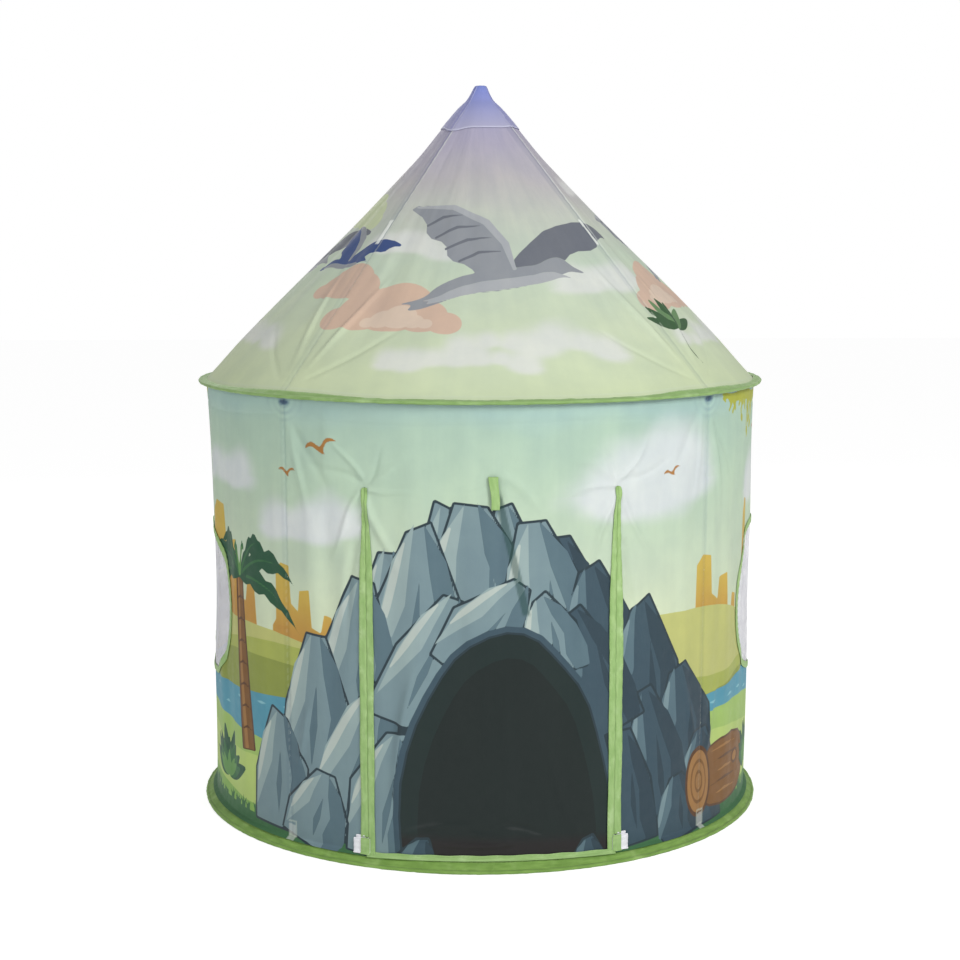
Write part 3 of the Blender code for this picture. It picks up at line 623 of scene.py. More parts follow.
class Print:
    """A printed picture: for each ink, the distance from the edge of what it covers, negative inside.

    Inks are named from the back of the picture to its front. What is drawn in one ink later covers what
    lies there in the inks in front of it.
    """

    def __init__(self, inks, x, y, repeat=0.0):
        self.x = x
        self.y = y
        self.repeat = repeat
        self.inks = list(inks)
        self.edge = {ink: np.full(x.shape, FAR) for ink in inks}

    def cover(self, ink, chosen, distance):
        order = self.inks.index(ink)
        self.edge[ink][chosen] = np.minimum(self.edge[ink][chosen], distance)
        for front in self.inks[order + 1:]:
            self.edge[front][chosen] = np.maximum(self.edge[front][chosen], -distance)

    def lay(self, ink, points, grow=0.0, cuts=()):
        """Draws an outline. A cut is a point and a direction: what lies that way is left out.

        A direction much shorter than 1 makes the cut's edge a soft one.
        """
        margin = abs(grow) + PRINT_MARGIN
        xs = [point[0] for point in points]
        ys = [point[1] for point in points]
        shifts = (-self.repeat, 0.0, self.repeat) if self.repeat else (0.0,)
        for shift in shifts:
            chosen = (self.x > min(xs) + shift - margin) & (self.x < max(xs) + shift + margin)
            chosen &= (self.y > min(ys) - margin) & (self.y < max(ys) + margin)
            if not chosen.any():
                continue
            x = self.x[chosen] - shift
            y = self.y[chosen]
            distance = polygon_distance(points, x, y) - grow
            for cut_x, cut_y, way_x, way_y in cuts:
                distance = np.maximum(distance, (x - cut_x) * way_x + (y - cut_y) * way_y)
            self.cover(ink, chosen, distance)

    def fill_below(self, ink, level):
        """Covers all that lies under a skyline, which is a function of x."""
        slack = 1e-3
        line = level(self.x)
        steepness = np.abs(level(self.x + slack) - level(self.x - slack)) / (2 * slack)
        distance = (self.y - line) / np.sqrt(1 + steepness ** 2)
        self.cover(ink, np.ones(self.x.shape, bool), distance)

    def save(self, mesh):
        for ink, values in self.edge.items():
            write_floats(mesh, "ink_" + ink, np.clip(values, -PRINT_REACH, PRINT_REACH))


# Motifs of the wall's print

ROUND_SHARES = pairs(100, -50, -20, -46, 22, -20, 48, 18, 50, 46, 24, 50, -20, 22, -48, -22, -50)
LEAF_SHARES = pairs(100, 0, 0, 18, 10, 45, 15, 75, 10, 100, 0, 75, -8, 45, -13, 18, -9)
GULL_SHARES = pairs(
    100,
    -100, 10, -78, 34, -45, 42, -16, 20, 0, 12, 14, 24, 42, 52, 74, 50, 100, 30, 72, 36, 44, 34, 24, 10,
    16, -6, 30, -26, 10, -20, -4, -12, -22, 0, -48, 20, -76, 18,
)
BUTTE_SHARES = pairs(
    100,
    -50, 0, -49, 44, -43, 50, -42, 92, -33, 100, -20, 98, -17, 66, -6, 60, -3, 78, 12, 80, 15, 48,
    27, 44, 31, 60, 40, 58, 43, 30, 50, 24, 50, 0,
)
SLAB_SHARES = pairs(
    100,
    0, -50, 16, -56, 46, -50, 74, -36, 93, -13, 100, 2, 93, 14, 76, 30, 50, 44, 22, 50, 0, 46,
)
SLAB_SHADE_SHARES = pairs(100, 0, 46, 22, 50, 50, 44, 76, 30, 96, 6, 70, 10, 44, 20, 20, 14, 0, 22)
SLAB_LIGHT_SHARES = pairs(100, 8, -50, 46, -47, 74, -33, 96, -3, 70, -12, 52, -16, 34, -30)
SLAB_PALE_SHARES = pairs(100, 26, -49, 47, -45.5, 73, -31.5, 90, -12, 68, -24, 44, -36)
SLAB_SPLIT_SHARES = pairs(100, 10, 2, 34, -4, 66, 5, 38, 7)
SHADED_INKS = ("rock_deep", "rock_dark", "rock_shade", "rock_mid")
LIT_INKS = ("rock_mid", "rock_shade", "rock_light", "rock_pale")
SMALL_SLAB = 0.09            # a slab no wider than this has no pale edge and no split
SLAB_RIM = 0.0042            # width of the dark line round a slab
SHADE_INSET = -0.0008        # how far inside its outline a slab's shaded or lit side ends
SLAB_SEED = 40
DOOR_SLAB_SEED = 90
TUFT_SEED = 61
RIPPLE_SEED = 900
RIPPLES = 46


def draw_slab(board, foot_x, foot_y, tip_x, tip_y, width, seed, shaded):
    """One slab of the outcrop: a dark rim, a body, a shaded side, a lit side, a pale edge and a split."""
    chance = np.random.default_rng(seed)
    run_x, run_y = tip_x - foot_x, tip_y - foot_y
    length = math.hypot(run_x, run_y)
    side_x, side_y = run_y / length * width, -run_x / length * width
    bend = chance.uniform(-0.08, 0.08)

    def spots(shares, shift=0.0):
        found = []
        for along, across in shares:
            across = across + bend * math.sin(math.pi * along) + shift
            x = foot_x + run_x * along + side_x * across
            found.append((x, foot_y + run_y * along + side_y * across))
        return found

    outline = spots([
        (along + chance.uniform(-0.04, 0.04), across * chance.uniform(0.84, 1.10))
        for along, across in SLAB_SHARES[::2]
    ])
    body, dark, lit, pale = SHADED_INKS if shaded else LIT_INKS
    board.lay("rock_line", outline, grow=SLAB_RIM)
    board.lay(body, outline)
    board.lay(dark, spots(SLAB_SHADE_SHARES), grow=SHADE_INSET)
    board.lay(lit, spots(SLAB_LIGHT_SHARES), grow=SHADE_INSET)
    if width > SMALL_SLAB:
        board.lay(pale, softened(spots(SLAB_PALE_SHARES), 1), grow=-0.0006)
        board.lay(dark, spots(SLAB_SPLIT_SHARES, chance.uniform(-0.06, 0.10)))


OUTCROP = pairs(
    1000,
    -390, 210, -300, 355, -200, 455, -100, 570, -40, 612, 45, 580, 140, 490, 235, 415, 325, 290,
    420, 165, 465, 30, -450, 30,
)
# Of each slab, in millimetres: its foot, its tip and its width, then whether it lies in shade
SLABS = (
    (-90, 330, -82, 632, 110, False), (60, 330, 12, 634, 110, False), (180, 300, 112, 570, 120, True),
    (-190, 260, -176, 560, 120, False), (10, 300, -40, 636, 210, False),
    (120, 290, 62, 604, 170, False), (-140, 280, -125, 602, 150, False),
    (210, 260, 160, 524, 150, True), (-230, 220, -224, 500, 150, False),
    (300, 200, 262, 456, 150, True), (-330, 120, -318, 400, 150, False),
    (385, 110, 346, 332, 150, True), (-410, 30, -405, 250, 140, False), (440, 20, 418, 205, 130, True),
    (-265, 40, -180, 330, 150, False), (330, 30, 270, 300, 140, True),
    (-150, 250, -60, 480, 130, False), (215, 230, 130, 450, 125, True), (-60, 330, 60, 500, 125, False),
    (120, 330, 75, 470, 110, False), (-205, 20, -160, 240, 120, False), (262, 20, 232, 230, 105, True),
    (-335, 15, -300, 150, 130, False), (375, 10, 350, 135, 120, True),
)
DOOR_SLABS = ((-130, -10, -118, 60, 70, True), (176, -10, 166, 56, 66, True))
ARCH = pairs(
    1000,
    -152, 0, -160, 120, -138, 225, -96, 312, -52, 372, 10, 404, 66, 398, 112, 352, 158, 296, 186, 205,
    208, 110, 214, 0,
)


def draw_mound(board):
    """An outcrop of leaning slabs, lit from the left, with a dark way in at its foot."""
    board.lay("rock_line", OUTCROP, grow=0.002)
    for order, (*sizes, shaded) in enumerate(SLABS):
        draw_slab(board, *metres(*sizes), SLAB_SEED + order, shaded)
    outline = softened(ARCH, 1)
    board.lay("rock_deep", outline, grow=0.0130)
    board.lay("rock_line", outline, grow=0.0035)
    board.lay("cave", outline)
    board.lay("cave_deep", [(x * 0.84 + 0.005, y * 0.90) for x, y in outline])
    board.lay("cave_foot", outline, cuts=((0.0, 0.056, 0.001, 0.050),))
    for *sizes, shaded in DOOR_SLABS:
        draw_slab(board, *metres(*sizes), DOOR_SLAB_SEED, shaded)


def draw_frond(board, x, y, length, rise, ink, vein):
    """An arching leaf with a notched edge and a pale rib. A negative length points to the left."""
    steps = 12
    spine = []
    for step in range(steps + 1):
        share = step / steps
        reach = math.cos(math.radians(rise)) * length * share
        lift = math.sin(math.radians(rise)) * abs(length) * share - abs(length) * 0.62 * share ** 2.3
        spine.append((x + reach, y + lift))
    upper, lower = [], []
    for step, (spine_x, spine_y) in enumerate(spine):
        share = step / steps
        half = abs(length) * 0.13 * math.sin(math.pi * min(share + 0.06, 1.0)) ** 0.8 * (1.0 - 0.25 * share)
        notch = 1.0 if step % 3 else 0.62
        upper.append((spine_x, spine_y + half * notch))
        lower.append((spine_x - half * 0.2, spine_y - half * notch))
    board.lay(ink, upper + lower[::-1])
    board.lay(vein, stroke(spine[:9], [0.0050 * (1 - step / 10) + 0.0012 for step in range(9)]))


FRONDS = ((-0.86, 12), (0.84, 8), (-1.0, 34), (1.0, 38), (-0.92, 58), (0.90, 62), (0.62, 82), (-0.60, 80))


def draw_palm(board, x, foot, height, lean):
    """A tree fern: a ringed trunk and a crown of arching fronds."""
    steps = 8
    shares = [step / steps for step in range(steps + 1)]
    trunk = [(x + lean * math.sin(share * 1.4), foot + height * share) for share in shares]
    lit = [(trunk_x - 0.006, trunk_y) for trunk_x, trunk_y in trunk]
    board.lay("bark_dark", stroke(trunk, [0.040 - 0.018 * share for share in shares]), grow=0.002)
    board.lay("bark", stroke(trunk, [0.034 - 0.016 * share for share in shares]))
    board.lay("bark_light", stroke(lit, [0.010 - 0.005 * share for share in shares]))
    for ring_x, ring_y in trunk[1:-1]:
        ring = [(ring_x - 0.014, ring_y - 0.004), (ring_x, ring_y + 0.002), (ring_x + 0.014, ring_y - 0.004)]
        board.lay("bark_dark", stroke(ring, (0.0020, 0.0050, 0.0020)))
    for length, rise in FRONDS:
        inks = ("leaf_dark", "leaf_mid") if abs(length) > 0.7 else ("leaf_mid", "leaf_light")
        draw_frond(board, *trunk[-1], height * 0.66 * length, rise, *inks)


LOG_RINGS = (
    (1.0, "bark_dark", 0.0030), (0.92, "bark_light", 0.0), (0.66, "bark", 0.0), (0.56, "bark_light", 0.0),
    (0.34, "bark", 0.0), (0.24, "bark_light", 0.0),
)


def draw_log(board, x, y, width, height):
    """A fallen log with its sawn end, rings and bark lines."""
    half = height / 2
    left, right = x - width / 2, x + width / 2
    corners = [(left, y - half), (left, y + half), (right, y + half * 0.92), (right, y - half * 0.96)]
    log = softened(corners, 2)
    board.lay("bark_dark", log, grow=0.004)
    board.lay("bark", log)
    for line in range(5):
        level = y + half * (0.70 - 0.34 * line)
        ridge = [
            (x - width * (0.30 - 0.05 * (line % 3)), level),
            (x - width * 0.05, level + 0.004),
            (x + width * (0.22 + 0.06 * (line % 2)), level - 0.003),
        ]
        board.lay("bark_dark" if line % 2 else "bark_light", stroke(ridge, (0.0012, 0.0052, 0.0012)))
    for ring, ink, grow in LOG_RINGS:
        circle = placed(ROUND_SHARES, left + 0.004, y, height * 0.62 * ring, height * 1.04 * ring, 4.0)
        board.lay(ink, softened(circle, 2), grow=grow)
    knot = placed(ROUND_SHARES, x + width * 0.20, y + half * 0.15, height * 0.26, height * 0.20, 10.0)
    knot = softened(knot, 2)
    board.lay("bark_dark", knot, grow=0.002)
    board.lay("bark_light", knot, grow=-0.003)


def draw_bush(board, x, y, size, seed):
    """A low clump of leaves that spread from its foot."""
    chance = np.random.default_rng(seed)
    for ink, count, spread in (("leaf_dark", 9, 1.0), ("leaf_mid", 7, 0.82), ("leaf_light", 5, 0.62)):
        for leaf in range(count):
            angle = 15 + 150 * (leaf + chance.uniform(0.2, 0.8)) / count
            length = size * spread * chance.uniform(0.75, 1.05)
            board.lay(ink, softened(placed(LEAF_SHARES, x, y, length, length * 1.15, angle), 1))


def draw_tufts(board, low, high, level, seed):
    """A dark strip of grass along the foot of the wall, with blades that stand up from it."""
    chance = np.random.default_rng(seed)
    x = low
    while x < high:
        size = chance.uniform(0.012, 0.030)
        foot = level(x) - 0.004
        for blade in range(-1, 2):
            lean = blade * 0.42 + chance.uniform(-0.15, 0.15)
            tip = (x + size * lean, foot + size * (1.0 - 0.16 * abs(blade)))
            middle = (x + size * lean * 0.4, foot + size * 0.45)
            start = (x + blade * 0.0016, foot - 0.004)
            board.lay("grass_dark", stroke([start, middle, tip], (0.0070, 0.0052, 0.0012)))
        x += chance.uniform(0.010, 0.030)


# Height of each ground's top edge, then its waves: their depth, their number round the tent and their turn
GROUNDS = {
    "meadow": (0.205, (0.022, 2, 0.7), (0.010, 5, 2.0)), "near": (0.070, (0.012, 3, 1.0), (0.005, 8, 0.0)),
    "water": (0.262, (0.010, 3, 2.5)), "hill": (0.330, (0.040, 2, 2.2), (0.016, 5, 0.5)),
    "far_hill": (0.395, (0.035, 3, 0.3), (0.012, 7, 1.0)),
}


def top_of(ground, x):
    level, *waves = GROUNDS[ground]
    for depth, count, turn in waves:
        level = level + depth * np.sin(count * (x / WALL_TOP_RADIUS) + turn)
    return level


def strip_top(x):
    """The top of the dark strip of grass at the wall's foot."""
    return top_of("near", x) * 0.25 + 0.024


WALL_INKS = {
    "butte": "#C6AA50", "butte_shade": "#BB8E46", "far_hill": "#B9BB74", "hill": "#A3AC58",
    "hill_shade": "#8A9549", "water": "#5795A8", "water_light": "#86B9C2", "meadow": "#9DBB68",
    "meadow_light": "#B1C773", "near_grass": "#86AE58", "vine": "#A9AD42", "grass_dark": "#3F6B45",
    "rock_line": "#26363D", "rock_dark": "#2E404A", "rock_deep": "#3D515C", "rock_shade": "#597079",
    "rock_mid": "#778D92", "rock_light": "#93A6A5", "rock_pale": "#B3BEB6", "cave": "#122422",
    "cave_deep": "#0D1B19", "cave_foot": "#1A1717", "bark_dark": "#573A22", "bark": "#7C5833",
    "bark_light": "#9C7447", "leaf_dark": "#28523A", "leaf_mid": "#3A6A42", "leaf_light": "#639150",
    "bird": "#A8763E", "bird_edge": "#8A6232",
}
# Where things stand in millimetres: x, y or foot, then their size and their lean or their turn in degrees
BUTTES = (
    (-560, 290, 230, 240), (-345, 300, 150, 150), (480, 290, 190, 165), (680, 300, 200, 230),
    (1060, 290, 280, 230), (1420, 300, 220, 170), (1760, 290, 300, 240), (2120, 300, 200, 180),
    (2380, 300, 170, 130),
)
SKY_BIRDS = (
    (-300, 700, 36, 8), (-375, 655, 22, -6), (330, 655, 20, 12), (700, 700, 30, 5), (1350, 680, 34, -8),
    (1500, 640, 22, 6), (1950, 700, 30, 10), (2450, 690, 26, -5),
)
PALMS = (
    (-500, 150, 310, -20), (860, 150, 330, 30), (1240, 150, 260, -30), (1900, 140, 330, 40),
    (2300, 150, 280, -20),
)
LOGS = ((530, 100, 230, 120), (1560, 120, 260, 110))
BUSHES = (
    (-600, 75, 100), (-960, 80, 130), (690, 65, 100), (1040, 80, 130), (1360, 80, 100), (1740, 75, 110),
    (2060, 80, 125),
)
VINES = ((600, 260, 70), (-860, 360, 80), (1620, 380, 80))


def draw_wall(board):
    """The landscape round the tent, from its skyline to its front."""
    for butte in BUTTES:
        x, foot, width, height = metres(*butte)
        outline = placed(BUTTE_SHARES, x, foot, width, height + 0.05)
        board.lay("butte", outline)
        board.lay("butte_shade", outline, cuts=((x, foot + height * 0.78, 0.001, 0.010),))
        for share, reach in ((0.58, 0.16), (0.34, 0.24)):
            level = foot + height * share
            groove = [(x - width * 0.40, level), (x - width * (0.40 - reach), level)]
            board.lay("butte_shade", stroke(groove, (0.0080, 0.0030)))
    board.fill_below("far_hill", lambda x: top_of("far_hill", x))
    board.fill_below("hill", lambda x: top_of("hill", x))
    board.fill_below("hill_shade", lambda x: top_of("hill", x + 0.06) - 0.030)
    board.fill_below("water", lambda x: top_of("water", x))
    draw_ripples(board)
    board.fill_below("meadow", lambda x: top_of("meadow", x))
    board.fill_below("meadow_light", lambda x: top_of("meadow", x + 0.10) - 0.036)
    board.fill_below("near_grass", lambda x: top_of("near", x))
    board.fill_below("grass_dark", strip_top)
    draw_tufts(board, -ROUND / 2, ROUND / 2, strip_top, TUFT_SEED)
    for palm in PALMS:
        draw_palm(board, *metres(*palm))
    draw_mound(board)
    for log in LOGS:
        draw_log(board, *metres(*log))
    for bush in BUSHES:
        draw_bush(board, *metres(*bush), bush[0] % 997)
    for *spot, turn in SKY_BIRDS:
        x, y, span = metres(*spot)
        outline = softened(placed(GULL_SHARES, x, y, span, span, turn), 1)
        board.lay("bird_edge", outline, grow=0.0008)
        board.lay("bird", outline)
    for vine in VINES:
        draw_vine(board, *metres(*vine))


def draw_ripples(board):
    for ripple in range(RIPPLES):
        chance = np.random.default_rng(RIPPLE_SEED + ripple)
        x = -1.6 + 0.0705 * ripple
        y = float(top_of("water", x)) - chance.uniform(0.008, 0.050)
        length = chance.uniform(0.020, 0.050)
        line = [(x, y), (x + length / 2, y + 0.001), (x + length, y)]
        board.lay("water_light", stroke(line, (0.0010, 0.0052, 0.0010)))


def draw_vine(board, x, width, drop):
    """A creeper that hangs from the top of a side panel."""
    chance = np.random.default_rng(int(abs(x) * 1000))
    steps = 18
    line, widths = [], []
    for step in range(steps + 1):
        share = step / steps
        sink = 0.010 * math.sin(math.pi * share) ** 2 + 0.006 * math.sin(share * 11.0)
        line.append((x + width * (share - 0.5), WALL_TOP - 0.010 - sink))
        widths.append(0.006 + 0.016 * math.sin(math.pi * share))
    board.lay("vine", stroke(line, widths))
    for hang_x, hang_y in line[1:-1]:
        middle = 1 - abs(hang_x - x) / (width / 2)
        length = drop * (0.25 + 0.75 * middle) * chance.uniform(0.35, 1.0)
        sway = chance.uniform(-0.010, 0.010)
        tail = [(hang_x, hang_y), (hang_x + sway, hang_y - length * 0.5), (hang_x, hang_y - length)]
        board.lay("vine", stroke(tail, (0.0150, 0.0090, 0.0050)))
        if length > drop * 0.45:
            turn = chance.uniform(-130.0, -50.0)
            board.lay("vine", placed(LEAF_SHARES, hang_x, hang_y - length, 0.020, 0.050, turn))


def cloud_cover(x, y, clouds, seed):
    """Soft white clouds, from 0 to 1, each a row of puffs on a level foot."""
    cover = np.zeros(x.shape)
    ragged = 0.16 * soft_noise(x * 13.0, y * 15.0, seed) + 0.08 * soft_noise(x * 31.0, y * 33.0, seed + 1)
    for order, (cloud_x, cloud_y, width, height, turn) in enumerate(clouds):
        chance = np.random.default_rng(seed * 100 + order)
        cosine, sine = math.cos(math.radians(turn)), math.sin(math.radians(turn))
        for spot in (-0.80, -0.52, -0.24, 0.04, 0.30, 0.56, 0.84):
            rise, size = height * chance.uniform(-0.10, 0.30), height * chance.uniform(0.55, 0.95)
            for shift in (-ROUND, 0.0, ROUND):
                apart_x, apart_y = x - cloud_x - shift, y - cloud_y
                across = apart_x * cosine + apart_y * sine - width * spot
                up = apart_y * cosine - apart_x * sine - rise
                reach = np.sqrt(across ** 2 + (up * np.where(up < 0, 1.9, 1.0)) ** 2) / size
                edge = np.where(up < 0, 0.50, 0.30)
                cover = 1 - (1 - cover) * smooth_share(reach + ragged, edge, 1.20)
    return cover


WALL_CLOUDS = (
    (0.290, 0.625, 0.105, 0.125, 0), (-0.330, 0.560, 0.090, 0.060, 0), (-0.600, 0.640, 0.110, 0.060, 0),
    (0.760, 0.600, 0.130, 0.080, 0), (1.150, 0.620, 0.140, 0.080, 0), (1.500, 0.560, 0.150, 0.080, 0),
    (1.950, 0.620, 0.140, 0.080, 0), (2.350, 0.570, 0.130, 0.070, 0),
)


# Motifs of the roof's print

ROOF_INKS = {
    "lime": "#C4CEA6", "blush": "#CBB09C", "blush_light": "#D3BFAC", "plume": "#A6A9AC",
    "plume_mid": "#8E9297", "plume_dark": "#6C7078", "night": "#3D5180", "sprig": "#3C5B3B",
    "sprig_light": "#64855A",
}
BIRD_BODY_SHARES = pairs(
    100,
    -46, -2, -36, 5, -16, 10, 6, 9, 26, 11, 35, 17, 44, 18, 50, 13, 60, 8.5, 49, 8.5, 40, 3, 22, -5,
    0, -8, -20, -6, -44, -10, -58, -8, -52, -4, -62, 0,
)
NEAR_WING_SHARES = pairs(
    100,
    13, 5, 12, 28, 4, 50, -14, 68, -42, 80, -32, 62, -35, 48, -24, 38, -26, 24, -14, 16, -10, 3,
)
FAR_WING_SHARES = pairs(
    100,
    4, 6, 22, 26, 42, 44, 66, 54, 92, 52, 76, 42, 72, 30, 54, 26, 44, 14, 26, 6,
)
WING_EDGE_SHARES = pairs(100, 12, 8, 11, 30, 3, 49, -14, 66, -36, 76)
FEATHER_SHARES = (
    ((0.07, 0.24), (-0.20, 0.21)), ((0.04, 0.36), (-0.26, 0.33)), ((0.00, 0.47), (-0.30, 0.45)),
    ((-0.10, 0.58), (-0.33, 0.57)),
)


def draw_heron(board, x, y, span, turn, body, wing, light):
    """A long-winged water bird seen from the side in flight, in flat greys."""
    def shape(shares):
        return placed(shares, x, y, span, span, turn)

    board.lay(wing, softened(shape(FAR_WING_SHARES), 1))
    board.lay(body, softened(shape(BIRD_BODY_SHARES), 2))
    board.lay(light, softened(shape([(along * 0.8, up * 0.5 - 0.03) for along, up in BIRD_BODY_SHARES]), 2))
    board.lay(body, softened(shape(NEAR_WING_SHARES), 1))
    for start, end in FEATHER_SHARES:
        middle = ((start[0] + end[0]) / 2, (start[1] + end[1]) / 2 + 0.03)
        board.lay(wing, stroke(shape((start, middle, end)), (0.0020, 0.0070, 0.0050)))
    board.lay(light, stroke(shape(WING_EDGE_SHARES), (0.0060, 0.0140, 0.0150, 0.0120, 0.0030)))


def draw_cumulus(board, ink, x, y, width, height, turn, seed):
    """A flat coloured cloud: overlapping rounds along a level foot."""
    chance = np.random.default_rng(seed)
    for spot, size in ((-0.42, 0.42), (-0.20, 0.74), (0.06, 1.00), (0.30, 0.66), (0.48, 0.40)):
        size = size * chance.uniform(0.85, 1.10) * height
        (puff_x, puff_y), = placed(((spot, size * 0.40),), x, y, width, 1.0, turn)
        board.lay(ink, softened(placed(ROUND_SHARES, puff_x, puff_y, size * 1.25, size, turn), 2))


def unrolled(azimuth, slant):
    """Where a point of the roof lies when the cone is rolled out flat."""
    from_peak = ROOF_SLANT - slant
    turn = np.radians(azimuth) * SLOPE_COS
    return from_peak * np.sin(turn), -from_peak * np.cos(turn)


def roof_spot(azimuth, slant):
    """Place in the unrolled roof, and by how much upright motifs lean there."""
    x, y = unrolled(azimuth, slant)
    return float(x), float(y), azimuth * SLOPE_COS


def draw_sprig(board, x, y, size, lean):
    for leaf in range(7):
        ink = "sprig_light" if leaf % 3 == 1 else "sprig"
        angle = lean + 20 + 22 * leaf
        board.lay(ink, softened(placed(LEAF_SHARES, x, y, size * 0.62, size * 0.62, angle), 1))
    stem = placed(((0.0, 0.0), (-0.3, -0.5), (-0.2, -1.0)), x, y, size * 0.4, size * 0.6, lean)
    board.lay("sprig", stroke(stem, (0.006, 0.005, 0.002)))


# Each motif by its azimuth and its length up the roof, then its size, its turn and its inks
CUMULUS = (
    (-27.0, 0.150, 0.230, 0.120, "blush", 300), (-46.0, 0.215, 0.130, 0.090, "blush", 301),
    (66.0, 0.190, 0.240, 0.110, "blush", 302), (148.0, 0.170, 0.260, 0.120, "blush", 303),
    (-112.0, 0.180, 0.250, 0.120, "blush", 304), (105.0, 0.360, 0.190, 0.110, "lime", 305),
    (-80.0, 0.390, 0.170, 0.100, "lime", 306), (200.0, 0.380, 0.180, 0.110, "lime", 307),
    (-24.0, 0.152, 0.120, 0.050, "blush_light", 330), (62.0, 0.196, 0.120, 0.046, "blush_light", 330),
)
GREY_HERON = ("plume_mid", "plume_dark", "plume")
NIGHT_HERON = ("night", "night", "plume_mid")
HERONS = (
    (3.0, 0.255, 0.290, 10.0, GREY_HERON), (97.0, 0.300, 0.200, 84.0, GREY_HERON),
    (186.0, 0.290, 0.200, 140.0, GREY_HERON), (-92.0, 0.270, 0.210, -54.0, GREY_HERON),
    (-57.0, 0.290, 0.130, -40.0, NIGHT_HERON), (140.0, 0.360, 0.120, 96.0, NIGHT_HERON),
)
SPRIGS = ((54.0, 0.130, 0.130), (-95.0, 0.120, 0.130), (170.0, 0.120, 0.130))


def draw_roof(board):
    """Coloured clouds, water birds and sprigs round the roof."""
    for azimuth, slant, width, height, ink, seed in CUMULUS:
        x, y, lean = roof_spot(azimuth, slant)
        draw_cumulus(board, ink, x, y, width, height, lean, seed)
    for azimuth, slant, span, turn, inks in HERONS:
        x, y, _ = roof_spot(azimuth, slant)
        draw_heron(board, x, y, span, turn, *inks)
    for azimuth, slant, size in SPRIGS:
        x, y, lean = roof_spot(azimuth, slant)
        draw_sprig(board, x, y, size, lean)


ROOF_CLOUDS = (
    (-30.0, 0.330, 0.080, 0.045), (10.0, 0.110, 0.150, 0.055), (-8.0, 0.075, 0.140, 0.040),
    (36.0, 0.250, 0.080, 0.050), (70.0, 0.110, 0.150, 0.055), (85.0, 0.480, 0.070, 0.045),
    (125.0, 0.140, 0.150, 0.060), (200.0, 0.110, 0.150, 0.055), (-120.0, 0.400, 0.090, 0.050),
    (-75.0, 0.110, 0.130, 0.050),
)


# Materials

def linear(code):
    """A written colour, such as #A0B0C0, as the linear values that a shader takes."""
    found = []
    for here in (1, 3, 5):
        value = int(code[here:here + 2], 16) / 255
        found.append(value / 12.92 if value <= 0.04045 else ((value + 0.055) / 1.055) ** 2.4)
    return found + [1.0]


class Look:
    """A material under construction: its nodes and short ways to add to them."""

    def __init__(self, name, roughness, sheen=0.0, metallic=0.0):
        self.material = bpy.data.materials.new(name)
        self.material.use_nodes = True
        self.tree = self.material.node_tree
        self.shader = self.tree.nodes["Principled BSDF"]
        values = {"Roughness": roughness, "Metallic": metallic, "Sheen Weight": sheen,
                  "Sheen Roughness": 0.4, "Specular IOR Level": 0.35}
        for socket, value in values.items():
            self.shader.inputs[socket].default_value = value

    def node(self, kind, **settings):
        made = self.tree.nodes.new(kind)
        for setting, value in settings.items():
            setattr(made, setting, value)
        return made

    def link(self, source, target):
        self.tree.links.new(source, target)

    def set(self, socket, value):
        if isinstance(value, bpy.types.NodeSocket):
            self.link(value, socket)
        else:
            socket.default_value = value

    def added(self, kind, output, inputs, **settings):
        """Adds a node, sets or links its inputs, and gives one of its outputs."""
        made = self.node(kind, **settings)
        for socket, value in inputs.items():
            self.set(made.inputs[socket], value)
        return made.outputs[output]

    def attribute(self, name):
        return self.added("ShaderNodeAttribute", "Fac", {}, attribute_name=name)

    def uv(self):
        return self.added("ShaderNodeUVMap", "UV", {}, uv_map="Cloth")

    def place(self):
        return self.added("ShaderNodeTexCoord", "Object", {})

    def scaled(self, vector, scale):
        return self.added("ShaderNodeMapping", "Vector", {"Vector": vector, "Scale": scale})

    def split(self, vector):
        made = self.node("ShaderNodeSeparateXYZ")
        self.link(vector, made.inputs["Vector"])
        return made.outputs["X"], made.outputs["Y"], made.outputs["Z"]

    def math(self, operation, first, second=0.0):
        return self.added("ShaderNodeMath", "Value", {0: first, 1: second}, operation=operation)

    def ranged(self, value, low, high, to_low=0.0, to_high=1.0):
        inputs = {"Value": value, "From Min": low, "From Max": high, "To Min": to_low, "To Max": to_high}
        return self.added("ShaderNodeMapRange", "Result", inputs, interpolation_type="SMOOTHSTEP")

    def noise(self, vector, scale, detail=3.0, roughness=0.5):
        inputs = {"Vector": vector, "Scale": scale, "Detail": detail, "Roughness": roughness}
        return self.added("ShaderNodeTexNoise", "Fac", inputs)

    def wave(self, vector, scale, direction):
        inputs = {"Vector": vector, "Scale": scale}
        return self.added("ShaderNodeTexWave", "Fac", inputs, wave_type="BANDS", bands_direction=direction)

    def mix(self, factor, first, second, blend="MIX"):
        made = self.node("ShaderNodeMix", data_type="RGBA", blend_type=blend)
        self.set(made.inputs["Factor"], factor)
        for socket, colour in ((made.inputs[6], first), (made.inputs[7], second)):
            self.set(socket, linear(colour) if isinstance(colour, str) else colour)
        return made.outputs[2]

    def ramp(self, value, stops):
        """A gradient through colours, each with its place from 0 to 1."""
        made = self.node("ShaderNodeValToRGB")
        self.link(value, made.inputs["Fac"])
        elements = made.color_ramp.elements
        while len(elements) < len(stops):
            elements.new(0.5)
        for element, (position, colour) in zip(elements, stops):
            element.position = position
            element.color = linear(colour)
        return made.outputs["Color"]

    def bump(self, height, strength, distance, under=None):
        inputs = {"Height": height, "Strength": strength, "Distance": distance}
        if under is not None:
            inputs["Normal"] = under
        return self.added("ShaderNodeBump", "Normal", inputs)

    def finish(self, colour, normal=None, roughness=None):
        self.set(self.shader.inputs["Base Color"], linear(colour) if isinstance(colour, str) else colour)
        if normal is not None:
            self.link(normal, self.shader.inputs["Normal"])
        if roughness is not None:
            self.link(roughness, self.shader.inputs["Roughness"])
        return self.material


